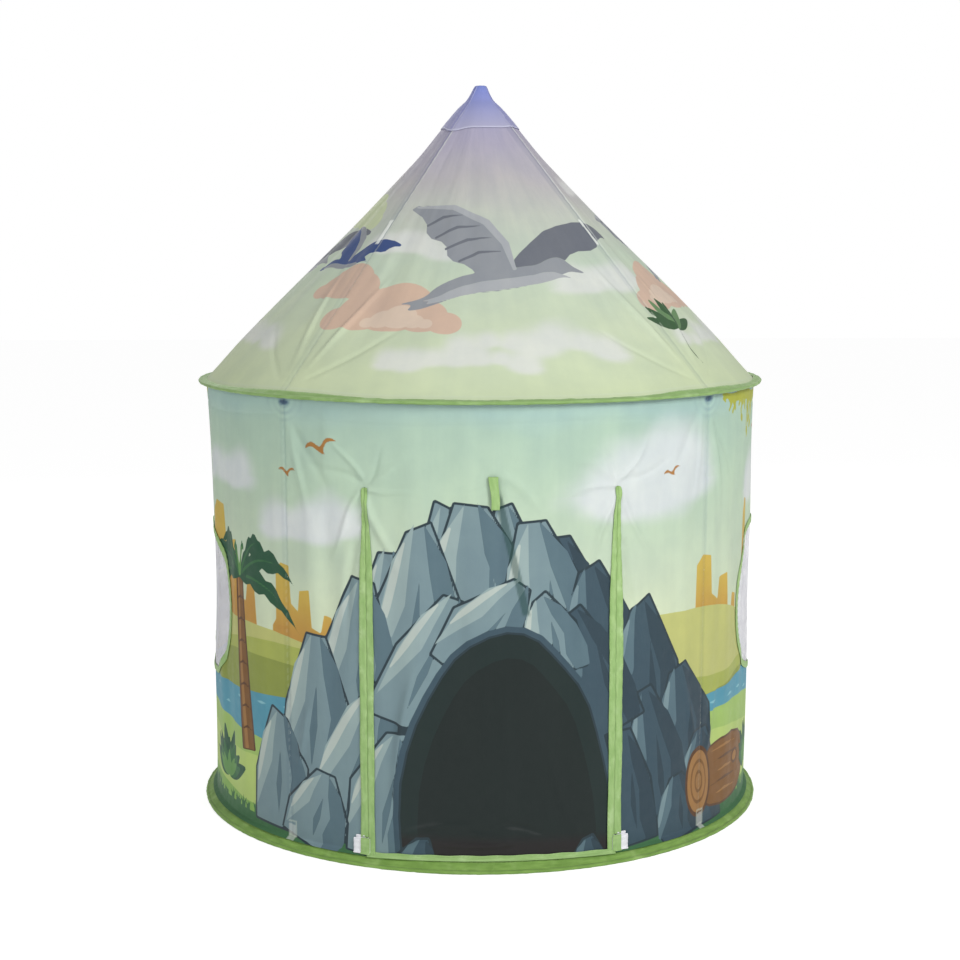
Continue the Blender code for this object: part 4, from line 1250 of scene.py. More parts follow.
EDGE_BLUR = 0.0006           # half the width over which an ink's edge runs out
DARK_INKS = (0.015, 0.08)    # brightness of ink from which on the cloth is less glossy


def taffeta_normal(look):
    """Crinkles of thin cloth, long and upright, over a fine plain weave."""
    uv = look.uv()
    crinkle = look.noise(look.scaled(uv, (1.0, 0.45, 1.0)), 26.0, 4.0, 0.55)
    small = look.noise(look.scaled(uv, (1.0, 0.7, 1.0)), 95.0, 3.0, 0.6)
    weave = look.math("ADD", look.wave(uv, 420.0, "X"), look.wave(uv, 420.0, "Y"))
    normal = look.bump(crinkle, 0.34, 0.0030)
    normal = look.bump(small, 0.16, 0.0008, normal)
    return look.bump(weave, 0.10, 0.0002, normal)


def printed_look(name, inks, sky):
    """Printed taffeta. sky makes the ground colour; each ink then covers it inside its own outline."""
    look = Look(name, 0.50, sheen=0.03)
    colour = sky(look)
    for ink, code in inks.items():
        inside = look.ranged(look.attribute("ink_" + ink), -EDGE_BLUR, EDGE_BLUR, 1.0, 0.0)
        colour = look.mix(inside, colour, code)
    uv = look.uv()
    blotch = look.ranged(look.noise(uv, 11.0, 4.0, 0.6), 0.30, 0.72, 0.94, 1.03)
    streak = look.ranged(look.noise(look.scaled(uv, (1.0, 0.10, 1.0)), 34.0, 3.0), 0.25, 0.80, 0.955, 1.02)
    shade = look.math("MULTIPLY", blotch, streak)
    # Painted shade of what lies behind the cloth darkens the colour, bluer where the shade is deeper
    shade = look.math("MULTIPLY", shade, look.attribute("show_through"))
    bluish_shade = look.node("ShaderNodeCombineColor")
    for socket, power in zip(bluish_shade.inputs[:3], (1.0, 0.88, 0.58)):
        look.link(look.math("POWER", shade, power), socket)
    colour = look.mix(1.0, colour, bluish_shade.outputs["Color"], "MULTIPLY")
    # Painted shadow of the inner tie behind the door, in dark teal
    colour = look.mix(look.attribute("painted_tie_shadow"), colour, "#22453F")
    ink_weight = look.node("ShaderNodeRGBToBW")
    look.link(colour, ink_weight.inputs["Color"])
    gloss = look.ranged(ink_weight.outputs["Val"], *DARK_INKS, 0.33, 0.26)
    look.link(gloss, look.shader.inputs["Specular IOR Level"])
    # Painted light where the ferrule or the foot pocket lies behind the cloth, and a pale line beside each
    # roof seam
    colour = look.mix(look.attribute("painted_light_and_pale_line"), colour, "#E4E8E2")
    colour = look.mix(look.attribute("stitch"), colour, "#C9D3C4")
    rough = look.ranged(look.noise(uv, 60.0, 3.0), 0.2, 0.8, 0.54, 0.70)
    rough = look.math("MULTIPLY", rough, look.ranged(ink_weight.outputs["Val"], *DARK_INKS, 0.72, 1.0))
    return look.finish(colour, taffeta_normal(look), rough)


def height_share(look, vector, scale, depth, top):
    """Height in the cloth's map as a share of top, with a slow drift of some depth."""
    height = look.split(look.uv())[1]
    drift = look.math("MULTIPLY", look.noise(vector, scale, 3.0), depth)
    return look.math("DIVIDE", look.math("ADD", height, look.math("SUBTRACT", drift, depth / 2)), top)


def wall_sky(look):
    # The last, bluer stop along the top edge is partly the print's sky and partly painted shade of the hem
    # behind
    colour = look.ramp(
        height_share(look, look.uv(), 4.0, 0.10, 0.80),
        ((0.30, "#D6DAB6"), (0.46, "#CCD6B6"), (0.62, "#BFCEB5"), (0.80, "#B4CAB2"), (0.92, "#AAC3B0"),
         (0.965, "#A4C0B7")),
    )
    return look.mix(look.attribute("cloud"), colour, "#DBDBE2")


def roof_sky(look):
    colour = look.ramp(
        height_share(look, look.place(), 5.0, 0.16, 0.75),
        ((0.00, "#C3CFA9"), (0.20, "#C2CEB2"), (0.40, "#BCCAB6"), (0.56, "#BCC1B6"), (0.68, "#B5B2B3"),
         (0.80, "#AAA5B6"), (0.90, "#A29FBE")),
    )
    return look.mix(look.attribute("cloud"), colour, "#D6D7D4")


def cap_look():
    look = Look("Cap cloth", 0.60, sheen=0.12)
    slant = look.split(look.uv())[1]
    colour = look.ramp(
        look.math("DIVIDE", look.math("SUBTRACT", slant, 0.60), 0.16),
        ((0.18, "#A6A5C0"), (0.42, "#979AC4"), (0.66, "#8089C6"), (0.82, "#6B7FC8"), (0.97, "#5C79CC")),
    )
    # Painted shade: the two side gores darker violet
    colour = look.mix(look.attribute("painted_shade_side_gores"), colour, "#5F60A8")
    colour = look.mix(look.attribute("stitch"), colour, "#C6C7DA")
    return look.finish(colour, taffeta_normal(look))


def tape_look(name, code, dark, pale):
    """Woven binding tape: fine ribs along it, shade in its folds and a row of stitches near its edge."""
    look = Look(name, 0.70, sheen=0.2)
    uv = look.uv()
    mottle = look.noise(look.scaled(uv, (2.2, 0.5, 1.0)), 60.0, 3.0, 0.5)
    colour = look.mix(look.ranged(mottle, 0.25, 0.80), dark, code)
    colour = look.mix(look.ranged(look.noise(uv, 22.0, 3.0), 0.50, 0.80, 0.0, 0.8), colour, pale)
    colour = look.mix(look.attribute("pale"), colour, pale)
    colour = look.mix(look.attribute("stitch"), colour, dark)
    normal = look.bump(mottle, 0.30, 0.0008)
    normal = look.bump(look.noise(uv, 75.0, 4.0), 0.25, 0.0008, normal)
    return look.finish(colour, look.bump(look.wave(uv, 380.0, "X"), 0.08, 0.0001, normal))


def white_tape_look():
    """The felted side of hook-and-loop tape."""
    look = Look("White closing tape", 0.85, sheen=0.3)
    fuzz = look.noise(look.uv(), 900.0, 4.0, 0.7)
    colour = look.mix(look.ranged(fuzz, 0.3, 0.7), "#D9D9DF", "#F1F1F5")
    colour = look.mix(look.attribute("stitch"), colour, "#C7C7D2")
    return look.finish(colour, look.bump(fuzz, 0.5, 0.0004))


def net_look():
    """Fine white net: threads in two slanting directions with clear gaps between them."""
    look = Look("White net", 0.80)
    u, v, _ = look.split(look.uv())
    thread = None
    for sign in (1.0, -1.0):
        along = look.math("ADD", u, look.math("MULTIPLY", v, sign))
        phase = look.math("FRACT", look.math("MULTIPLY", along, 420.0))
        here = look.math("LESS_THAN", look.math("ABSOLUTE", look.math("SUBTRACT", phase, 0.5)), 0.25)
        thread = here if thread is None else look.math("MAXIMUM", thread, here)
    thread = look.math("MAXIMUM", thread, look.attribute("stitch"))
    look.link(thread, look.shader.inputs["Alpha"])
    colour = look.mix(look.ranged(look.noise(look.uv(), 30.0), 0.3, 0.7), "#E6E6EC", "#F6F6FA")
    return look.finish(colour, look.bump(look.noise(look.uv(), 200.0), 0.2, 0.0003))


def inner_cloth_look():
    """The unprinted cloth of the sleeves and pockets inside."""
    look = Look("Inner cloth", 0.70, sheen=0.15)
    colour = look.mix(look.ranged(look.noise(look.uv(), 40.0, 4.0), 0.3, 0.7), "#BDC9BC", "#D2DACD")
    colour = look.mix(look.attribute("stitch"), colour, "#F0F1EA")
    return look.finish(colour, taffeta_normal(look))


def pole_look():
    """Pulled glass-fibre rod: fine streaks along it under a satin skin."""
    look = Look("Grey pole", 0.38)
    streak = look.noise(look.scaled(look.place(), (900.0, 900.0, 30.0)), 1.0, 4.0)
    colour = look.mix(look.ranged(streak, 0.3, 0.7), "#74777C", "#8C8F94")
    rough = look.ranged(look.noise(look.place(), 120.0, 3.0), 0.3, 0.7, 0.30, 0.46)
    return look.finish(colour, look.bump(streak, 0.15, 0.0002), rough)


def moulded_look():
    """White moulded plastic with a faint orange-peel skin and duller worn patches."""
    look = Look("White moulded plastic", 0.42)
    worn = look.noise(look.place(), 60.0, 4.0)
    colour = look.mix(look.ranged(worn, 0.35, 0.75), "#EEF0F0", "#DCDFDE")
    rough = look.ranged(worn, 0.3, 0.8, 0.36, 0.55)
    return look.finish(colour, look.bump(look.noise(look.place(), 700.0, 2.0), 0.12, 0.0003), rough)


def wire_look():
    """Drawn spring-steel wire with a thin dull skin."""
    look = Look("Spring steel", 0.35, metallic=1.0)
    skin = look.noise(look.place(), 300.0, 4.0)
    colour = look.mix(look.ranged(skin, 0.35, 0.7), "#A3A5A8", "#7F8286")
    return look.finish(colour, look.bump(skin, 0.15, 0.0002), look.ranged(skin, 0.3, 0.7, 0.28, 0.48))


def make_looks():
    return {
        "wall": printed_look("Printed wall cloth", WALL_INKS, wall_sky),
        "roof": printed_look("Printed roof cloth", ROOF_INKS, roof_sky),
        "cap": cap_look(),
        "green": tape_look("Green tape", "#A0BF7E", "#8AAD68", "#B8D29A"),
        "hoop": tape_look("Green hoop tape", "#8FB06E", "#7B9C5A", "#A9C68C"),
        # The lower hoop's tape is the hoop tape painted darker, as painted shade
        "shaded_low_hoop": tape_look("Green lower hoop tape in painted shade", "#83A853", "#6B8F40", "#9BBA70"),
        "white_tape": white_tape_look(),
        "net": net_look(),
        "inner": inner_cloth_look(),
        "pole": pole_look(),
        "moulded": moulded_look(),
        "wire": wire_look(),
    }


def dress(piece, look, body, node):
    """Gives a piece its material and its body, and hides the CAD node that it stands for."""
    piece.data.materials.append(look)
    if body:
        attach(piece, body)
    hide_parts(node)


def lay_flat(piece, across, along):
    """Writes where each point lies in the flat piece, for its material and for its flat size."""
    write_uv(piece.data, across, along)
    write_floats(piece.data, "across", across)
    write_floats(piece.data, "along", along)


def declare_cloth(piece):
    """Works out the flat size that a sheet's rows and columns add up to, and its area; nothing uses them."""
    width, length = (float(np.ptp(read_floats(piece.data, name))) for name in ("across", "along"))
    area = min(cloth_area(piece), width * length)


# Wall panels

def panel_range(quarter):
    """Azimuths of a panel's two seams, as they run on from the front panel."""
    start = pole_azimuths()[quarter]
    return start, start + QUARTER


def add_print(mesh, x, y, draw, inks, repeat):
    """Writes a print into the mesh: a distance for each ink."""
    board = Print(inks, x, y, repeat)
    draw(board)
    board.save(mesh)


# Rings of bunched cloth round a pole's head: their reach, their width and their depth of shade
BUNCHES = (
    (0.014, 0.0024, 0.24), (0.020, 0.0020, -0.12), (0.026, 0.0024, 0.18), (0.033, 0.0024, -0.09),
    (0.040, 0.0028, 0.10),
)

# Strengths of the painted shade and painted light from what lies behind the wall's cloth
SEAM_SHADE = 0.07
SLEEVE_SHADE = 0.085
HEM_SHADE = 0.05
HEM_WIDTH = 0.0095
POCKET_PAINTED_LIGHT = 0.36
POCKET_HALF = 0.0080
POCKET_TOP = 0.042
TIE_SHADOW = 0.60
TIE_FADE = (0.0050, 0.0082)  # from the tie's middle line, where its shadow starts and stops to fade
WALL_CLOUD = 0.66            # how much of the sky the thickest cloud hides
ROOF_CLOUD = 0.75


def wall_show_through(x, azimuth, height):
    """Painted light and shade from behind the wall: a shade, pale over the pocket and the tie's shadow.

    The parts of the painted shade are the seam, the pole's sleeve, the bunched cloth and the gap at the
    pole's head, and the hem under the brim.
    """
    side = past_pole(azimuth) * ROUND / 360
    from_top = height - WALL_TOP + UNDER_BRIM
    shade = 1 - SEAM_SHADE * bell(side, 0.0016)
    sleeve = plateau(side, -0.0130, -0.0080, 0.0035, 0.0060)
    shade = shade * (1 - SLEEVE_SHADE * sleeve)
    # Painted shade in rings where the cloth bunches round the pole's head
    from_head = np.hypot(side, (from_top - 0.006) * 1.15)
    bunched = sum(depth * bell(from_head - reach, width) for reach, width, depth in BUNCHES)
    shade = shade * (1 - bunched * (0.6 + 0.4 * np.cos(side * 120.0)))
    # Painted shadow in the gap under the brim at the pole's head
    hollow = np.hypot(side / 0.0140, (from_top - 0.0020) / 0.0060)
    shade = shade * (0.16 + 0.84 * smooth_share(hollow, 0.50, 1.15))
    shade = shade * (1 - HEM_SHADE * smooth_share(height, WALL_TOP - 0.0110, WALL_TOP - HEM_WIDTH))
    # Painted light: the wall shows pale where the foot pocket lies behind it
    pale = POCKET_PAINTED_LIGHT * (within(side, 0.001, POCKET_HALF) & (height < POCKET_TOP))
    # The inner tie's painted shadow, slanting down the door as the tie hangs
    share = (STRAP_TOP - height) / TIE_DROP
    tie = plateau(share, 0.10, 0.16, 0.97, 1.0)
    tie = tie * (1 - smooth_share(np.abs(x - TIE_DRIFT * share), *TIE_FADE))
    return shade, pale, TIE_SHADOW * tie


def wall_stitches(azimuth, height):
    """Thread: a row beside each seam and the box round each foot pocket."""
    side = past_pole(azimuth) * ROUND / 360
    seam_row = within(side, -0.0030, 0.0007) & dashes(height, SEAM_PITCH, -0.2)
    box = np.maximum(np.abs(side - 0.001) / 0.0090, np.abs(height - 0.034) / 0.0125)
    return 0.10 * seam_row + 0.45 * ((box > 0.88) & (box < 1.10))


def add_wall_finish(piece, look, body, node):
    """Print, stitches and the painted light and shade of what lies behind, for a wall panel or the door."""
    mesh = piece.data
    azimuth, height = grid_values(mesh)
    x = around(azimuth)
    add_print(mesh, x, height, draw_wall, WALL_INKS, ROUND)
    write_floats(mesh, "cloud", WALL_CLOUD * cloud_cover(x, height, WALL_CLOUDS, 71))
    shade, pale, tie = wall_show_through(x, azimuth, height)
    write_floats(mesh, "show_through", shade)
    write_floats(mesh, "painted_light_and_pale_line", pale)
    write_floats(mesh, "painted_tie_shadow", tie)
    write_floats(mesh, "stitch", wall_stitches(azimuth, height))
    lay_flat(piece, x, height)
    dress(piece, look, body, node)


def make_wall_panel(quarter, look):
    low, high = panel_range(quarter)
    size = (WALL_CELL, SIDE_CELL, BACK_CELL, SIDE_CELL)[quarter]
    cell = float(degrees_of(size))
    edge = float(degrees_of(DOOR_HALF))
    middle = {1: float(around(WINDOW_AZIMUTH)), 3: float(around(360.0 - WINDOW_AZIMUTH))}.get(quarter)
    across = even(low, high, cell)
    up = even(WALL_FOOT - LAP, WALL_TOP, size)
    if quarter == 0:
        across = joined(even(low, -edge, cell), even(-edge, edge, cell), even(edge, high, cell))
        up = joined(even(WALL_FOOT - LAP, DOOR_HEAD, size), even(DOOR_HEAD, WALL_TOP, size))

    def outside_doorway(azimuth, height):
        return (np.abs(azimuth) > edge - 1e-4) | (height > DOOR_HEAD - 1e-5)

    def outside_window(azimuth, height):
        return np.hypot(around(azimuth) - middle, height - WINDOW_HEIGHT) > WINDOW_RADIUS - SIDE_CELL * 0.55

    keep = (outside_doorway, outside_window, None, outside_window)[quarter]
    piece = grid_piece(PANELS[quarter] + "_wall_cloth", across, up, wall_place, keep)
    if middle is not None:
        round_off_hole(piece.data, middle)
    add_wall_finish(piece, look, "tent", PANELS[quarter] + "_wall")
    declare_cloth(piece)


def round_off_hole(mesh, middle):
    """Moves the stepped edge of a window's hole onto its circle."""
    azimuth, height = grid_values(mesh)
    x = around(azimuth)
    reach = np.hypot(x - middle, height - WINDOW_HEIGHT)
    near = reach < WINDOW_RADIUS + SIDE_CELL * 0.45
    factor = np.where(near, WINDOW_RADIUS / np.maximum(reach, 1e-6), 1.0)
    azimuth = degrees_of(middle + (x - middle) * factor)
    height = WINDOW_HEIGHT + (height - WINDOW_HEIGHT) * factor
    write_floats(mesh, "first", azimuth)
    write_floats(mesh, "second", height)
    mesh.vertices.foreach_set("co", wall_place(azimuth, height).ravel())
    mesh.update()


# Doorway

def make_door(look):
    edge = float(degrees_of(DOOR_HALF - DOOR_ROOM))
    cell = float(degrees_of(WALL_CELL))
    up = even(DOOR_FOOT, DOOR_HEAD, WALL_CELL)
    piece = grid_piece("door_cloth", even(-edge, edge, cell), up, door_place)
    add_wall_finish(piece, look, None, "door_flap")
    declare_cloth(piece)
    bend_with_door(piece)


def bend_with_door(piece):
    """The door's head stays sewn to the wall. Here the piece only has its transform baked into its mesh."""
    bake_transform(piece)


def fold_profile():
    """Of each row across a folded tape: how far past the cloth's edge and how far off the cloth it lies."""
    share = np.linspace(-1, 1, BINDING_ROWS)
    off = np.clip(share * 5.0, -1, 1) * (CLOTH / 2 + GAP + TAPE / 2)
    past = BINDING_FOLD * np.sqrt(np.clip(1 - (share * 5.0) ** 2, 0, 1))
    return past - np.clip((np.abs(share) - 0.2) / 0.8, 0, 1), off


def make_binding(name, edge, look, body, node, surface=wall_place):
    """A tape folded over an edge of the cloth. Its stops are azimuths, heights, ways out and widths."""
    azimuths, heights, way_across, way_up, widths = edge
    length = running_length(around(azimuths), heights)
    reach, off = fold_profile()

    def place(stop, row):
        here = whole(stop)
        level = whole(row)
        past = np.where(reach[level] > 0, reach[level], widths[here] * reach[level])
        x = around(azimuths[here]) + past * way_across[here]
        z = heights[here] + past * way_up[here]
        ripple = 0.0003 * np.sin(length[here] * 130.0) * np.sin(length[here] * 47.0 + level)
        ripple = ripple + 0.0003 * soft_noise(length[here] * 60.0, level * 0.25, 91)
        return surface(degrees_of(x), z, off[level] + np.sign(off[level]) * 0.0003 + ripple)

    piece = grid_piece(name, range(len(azimuths)), range(BINDING_ROWS), place)
    stop, row = (whole(values) for values in grid_values(piece.data))
    across = (row / (BINDING_ROWS - 1) * 2 - 1) * widths[stop]
    lay_flat(piece, across, length[stop])
    row_near_edge = within(np.abs(across), widths[stop] * 0.82, 0.0007) & dashes(length[stop], TAPE_PITCH)
    tack = (heights[stop] > DOOR_HEAD - 0.0065) & dashes(heights[stop], 0.0026, -0.3)
    sew(piece, 0.75 * (row_near_edge | tack))
    thicken(piece, TAPE)
    dress(piece, look, body, node)
    declare_cloth(piece)
    return piece


def make_slit_bindings(look):
    foot = SLIT_FOOT + GAP
    heights = even(foot, DOOR_HEAD - BINDING_TOP, TAPE_CELL)
    share = (heights - foot) / (DOOR_HEAD - foot)
    widths = SLIT_TAPE_WIDTH - 0.0070 * smooth_share(share, 0.62, 0.97) + 0.0006 * np.sin(heights * 40.0)
    widths = widths * (1 - 0.55 * smooth_share(heights, DOOR_HEAD - 0.0050, DOOR_HEAD))
    none = np.zeros(len(heights))
    for side, sign in (("left", -1.0), ("right", 1.0)):
        edge = (none + sign * float(degrees_of(DOOR_HALF)), heights, none - sign, none, widths)
        make_binding(side + "_slit_tape", edge, look, "tent", side + "_slit_binding")


def make_door_binding(look):
    """One tape down the door's left edge, along its foot and up its right edge, with mitred corners."""
    edge = float(degrees_of(DOOR_HALF - DOOR_ROOM))
    rise = even(DOOR_FOOT, DOOR_HEAD - BINDING_TOP, TAPE_CELL)
    run = even(-edge, edge, float(degrees_of(TAPE_CELL)))[1:-1]
    side = np.ones(len(rise))
    azimuths = np.concatenate([-edge * side, run, edge * side])
    heights = np.concatenate([rise[::-1], np.full(len(run), DOOR_FOOT), rise])
    way_across = np.concatenate([-side, np.zeros(len(run)), side])
    way_up = np.where(heights == DOOR_FOOT, -1.0, 0.0)
    share = (heights - DOOR_FOOT) / (DOOR_HEAD - DOOR_FOOT)
    widths = DOOR_TAPE_WIDTH - 0.0076 * smooth_share(share, 0.70, 1.0)
    widths = widths + 0.0005 * np.sin(heights * 37.0 + azimuths)
    stops = (azimuths, heights, way_across, way_up, widths)
    bend_with_door(make_binding("door_tape", stops, look, None, "door_binding", door_place))


def make_patch(name, span_x, span_z, offset, look, body, node, lift=0.0):
    """A small piece of tape that lies on the wall, with its corners slightly rounded and one end lifted."""
    (low_x, high_x), (low_z, high_z) = sorted(span_x), span_z
    middle_x, middle_z = (low_x + high_x) / 2, (low_z + high_z) / 2
    half_x, half_z = (high_x - low_x) / 2, (high_z - low_z) / 2
    root_x = min(low_x, high_x, key=abs)

    def place(x, z):
        flat_x, flat_z = half_x - PATCH_CORNER, half_z - PATCH_CORNER
        corner_x = np.maximum(np.abs(x - middle_x) - flat_x, 0)
        corner_z = np.maximum(np.abs(z - middle_z) - flat_z, 0)
        pull = np.minimum(PATCH_CORNER / np.maximum(np.hypot(corner_x, corner_z), 1e-9), 1.0)
        x = middle_x + np.sign(x - middle_x) * (np.minimum(np.abs(x - middle_x), flat_x) + corner_x * pull)
        z = middle_z + np.sign(z - middle_z) * (np.minimum(np.abs(z - middle_z), flat_z) + corner_z * pull)
        share = np.abs(x - root_x) / (high_x - low_x)
        return wall_place(degrees_of(x), z, offset + lift * share ** 2 + 0.0002 * np.sin(z * 700.0))

    piece = grid_piece(name, even(low_x, high_x, PATCH_CELL), even(low_z, high_z, PATCH_CELL), place)
    x, z = grid_values(piece.data)
    to_edge = np.minimum(half_x - np.abs(x - middle_x), half_z - np.abs(z - middle_z))
    sew(piece, 0.6 * within(to_edge, 0.0022, 0.0006))
    lay_flat(piece, x, z)
    thicken(piece, TAPE)
    dress(piece, look, body, node)
    declare_cloth(piece)
    return piece


def bend_with_tab(piece):
    """The tab's root stays sewn to the door. Here the piece only has its transform baked into its mesh."""
    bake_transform(piece)


def make_tabs(look, green):
    """A white tab at each lower corner of the door, its root wrapped in green, over a white patch."""
    face = CLOTH / 2 + GAP
    root = DOOR_HALF - DOOR_ROOM + GAP + TAPE - TAB_LAP
    tip = DOOR_HALF + TAB_REACH
    top = TAB_LOW + TAB_HEIGHT
    for side, sign in (("left", -1), ("right", 1)):
        span = (sign * root, sign * tip)
        tab = make_patch(side + "_closing_tab", span, (TAB_LOW, top), face + 1.5 * TAPE + GAP, look,
                         None, side + "_tab", lift=0.0008)
        bend_with_tab(tab)
        span = (sign * root, sign * (DOOR_HALF + TAB_WRAP))
        wrap = make_patch(side + "_tab_root", span, (TAB_LOW - 0.0010, SLIT_FOOT),
                          face + 2.5 * TAPE + 2 * GAP, green, None, side + "_tab", lift=0.0002)
        bend_with_tab(wrap)
        span = (sign * (DOOR_HALF + PATCH_INSET), sign * (tip - 0.0035))
        make_patch(side + "_loop_patch", span, (WALL_FOOT + 0.001, top + PATCH_RISE), face + TAPE / 2, look,
                   "tent", side + "_patch")


def make_ribbon(name, path, widths, look, node):
    """A ribbon along a path that is given by its sideways places, its radii and its heights."""
    path_x, path_out, path_z = path
    length = running_length(*path)

    def place(stop, across):
        here = whole(stop)
        x = path_x[here] + across * widths[here]
        dish = 0.0006 * (1 - 4 * across ** 2) + 0.0004 * np.sin(length[here] * 150.0) * across
        return np.stack([x, -(path_out[here] + dish), path_z[here]], axis=-1)

    piece = grid_piece(name, range(len(path_x)), np.linspace(-0.5, 0.5, 13), place)
    stop, share = grid_values(piece.data)
    stop = whole(stop)
    lay_flat(piece, share * widths[stop], length[stop])
    near_edge = within(np.abs(share), 0.40, 0.03)
    sew(piece, 0.5 * (near_edge & dashes(length[stop], SEAM_PITCH, 0)))
    thicken(piece, TAPE)
    dress(piece, look, node, node)
    declare_cloth(piece)


def make_outer_strap(look):
    """A doubled ribbon above the door: down from its seam behind, round its fold and up again in front."""
    back = float(wall_radius(np.array(0.0), np.array(STRAP_TOP))) + STRAP_ROOM
    half = STRAP_FOLD / 2
    turn = np.linspace(0, math.pi, 14)
    rise = np.linspace(0, 1, 26)
    level = np.full(26, back)
    out = np.concatenate([level, back + half - half * np.cos(turn)[1:], level[1:] + STRAP_FOLD])
    foot = STRAP_TOP - STRAP_DROP + half
    climb = (STRAP_DROP - half) * rise
    z = np.concatenate([STRAP_TOP - climb, foot - half * np.sin(turn)[1:], foot + climb[1:]])
    drift = 0.0042 * smooth_share(STRAP_TOP - z, 0.004, 0.045)
    x = drift + 0.0006 * np.sin(np.linspace(0, 1, len(z)) * 9.0)
    widths = STRAP_WIDTH - 0.0022 * smooth_share(STRAP_TOP - z, 0.0, 0.030)
    make_ribbon("outer_strap_ribbon", (x, out, z), widths, look, "outer_strap")


def make_inner_tie(look):
    share = np.linspace(0, 1, 90)
    z = STRAP_TOP - TIE_DROP * share
    x = TIE_DRIFT * share
    standoff = CLOTH / 2 + GAP + TAPE / 2 + TIE_ROOM * smooth_share(share, 0.0, 0.25)
    radius = wall_radius(degrees_of(x), z)
    out = np.sqrt(np.maximum((radius - standoff) ** 2 - x ** 2, 0)) - 0.0008 + 0.0008 * np.sin(share * 14.0)
    make_ribbon("inner_tie_ribbon", (x, out, z), np.full(len(share), TIE_WIDTH), look, "inner_tie")


# Windows

def make_window(side, azimuth, looks):
    """Net in the round hole and a tape round its edge."""
    middle = float(around(azimuth))

    def from_ring(turn, reach):
        return middle + reach * np.sin(np.radians(turn)), WINDOW_HEIGHT + reach * np.cos(np.radians(turn))

    def net_place(turn, reach):
        x, z = from_ring(turn, reach)
        return wall_place(degrees_of(x), z, -NET_SAG * (1 - (reach / WINDOW_RADIUS) ** 2))

    def tape_place(turn, reach):
        x, z = from_ring(turn, reach)
        dome = 0.0005 * (1 - ((reach - WINDOW_RADIUS) / WINDOW_TAPE_HALF) ** 2)
        pucker = 0.0003 * np.sin(np.radians(turn) * 70)
        return wall_place(degrees_of(x), z, CLOTH / 2 + GAP + TAPE / 2 + dome + pucker)

    reaches = even(0.0, WINDOW_RADIUS - GAP, 0.004)
    net = grid_piece(side + "_net", np.linspace(0.0, 360.0, 181), reaches, net_place, closed=True)
    turn, reach = grid_values(net.data)
    lay_flat(net, *from_ring(turn, reach))
    sew(net, reach > WINDOW_RADIUS - 0.004)
    dress(net, looks["net"], "tent", side + "_window_net")
    declare_cloth(net)

    reaches = np.linspace(WINDOW_RADIUS - WINDOW_TAPE_HALF, WINDOW_RADIUS + WINDOW_TAPE_HALF, 13)
    tape = grid_piece(side + "_window_tape", np.linspace(0.0, 360.0, 361), reaches, tape_place, closed=True)
    turn, reach = grid_values(tape.data)
    across = reach - WINDOW_RADIUS
    along = np.radians(turn) * WINDOW_RADIUS
    lay_flat(tape, across, along)
    sew(tape, 0.7 * (within(np.abs(across), 0.0046, 0.0006) & dashes(along, TAPE_PITCH)))
    thicken(tape, TAPE)
    dress(tape, looks["green"], "tent", side + "_window_binding")
    declare_cloth(tape)


# Hoop sleeves

def hoop_outline(centre, leg_end):
    """Across a hoop's tape: up one leg from its end, round the wire, and back along the other leg."""
    run = np.array([leg_end[0] - centre[0], leg_end[1] - centre[1]])
    length = math.hypot(*run)
    along = run / length
    aside = np.array([-along[1], along[0]])
    half = TAPE / 2 + LAYER_ROOM
    leave = math.asin(half / TUBE_RADIUS)
    start = TUBE_RADIUS * math.cos(leave)

    def leg(shares, side):
        return [along * (start + (length - start) * share) + side * aside * half for share in shares]

    shares = np.linspace(0, 1, 9)[1:]
    turns = np.linspace(leave, 2 * math.pi - leave, 17)
    loop = [TUBE_RADIUS * (along * math.cos(turn) + aside * math.sin(turn)) for turn in turns]
    return np.array(leg(shares[::-1], 1) + loop + leg(shares, -1)) + np.array(centre)


def make_hoop_tape(name, centre, leg_end, look, node, floor=None):
    """A hoop's sleeve: tape folded round the wire, whose two layers are sewn together beside it."""
    outline = hoop_outline(centre, leg_end)
    rows = len(outline)
    steps = running_length(*outline.T)
    run = np.gradient(outline, axis=0)
    normal = np.stack([run[:, 1], -run[:, 0]], axis=-1)
    normal /= np.linalg.norm(normal, axis=1, keepdims=True)
    leg = np.clip((np.abs(np.linspace(-1, 1, rows)) - 0.45) / 0.4, 0, 1)
    reach = np.hypot(outline[:, 0] - centre[0], outline[:, 1] - centre[1])
    reach = np.clip((reach - TUBE_RADIUS) / (reach.max() - TUBE_RADIUS), 0, 1)

    def place(azimuth, row):
        level = whole(row)
        gather = 0.00045 * soft_noise(azimuth / 360 * 420, level * 0.16, 95, 420)
        gather = gather + 0.0008 * leg[level] * soft_noise(azimuth / 360 * 150, level * 0.05, 96, 150)
        sway = 0.0012 * leg[level] * soft_noise(azimuth / 360 * 40, level * 0.02, 97, 40)
        radius = outline[level, 0] + normal[level, 0] * gather
        height = outline[level, 1] + normal[level, 1] * (gather + sway)
        if floor is None:
            return polar(azimuth, radius, height - rim_dip(azimuth) * reach[level])
        return polar(azimuth, radius, np.maximum(height, floor))

    piece = grid_piece(name, np.linspace(0, 360, 1081), range(rows), place, closed=True)
    azimuth, row = grid_values(piece.data)
    level = whole(row)
    along = np.radians(azimuth) * HOOP_RADIUS
    lay_flat(piece, steps[level], along)
    from_end = np.minimum(steps[level], steps[-1] - steps[level])
    sew(piece, 0.6 * (within(from_end, 0.0022, 0.0009) & dashes(along, 0.0052)))
    write_floats(piece.data, "pale", 0.7 * (reach[level] > 0.75))
    thicken(piece, TAPE)
    dress(piece, look, "tent", node)
    declare_cloth(piece)


# Roof

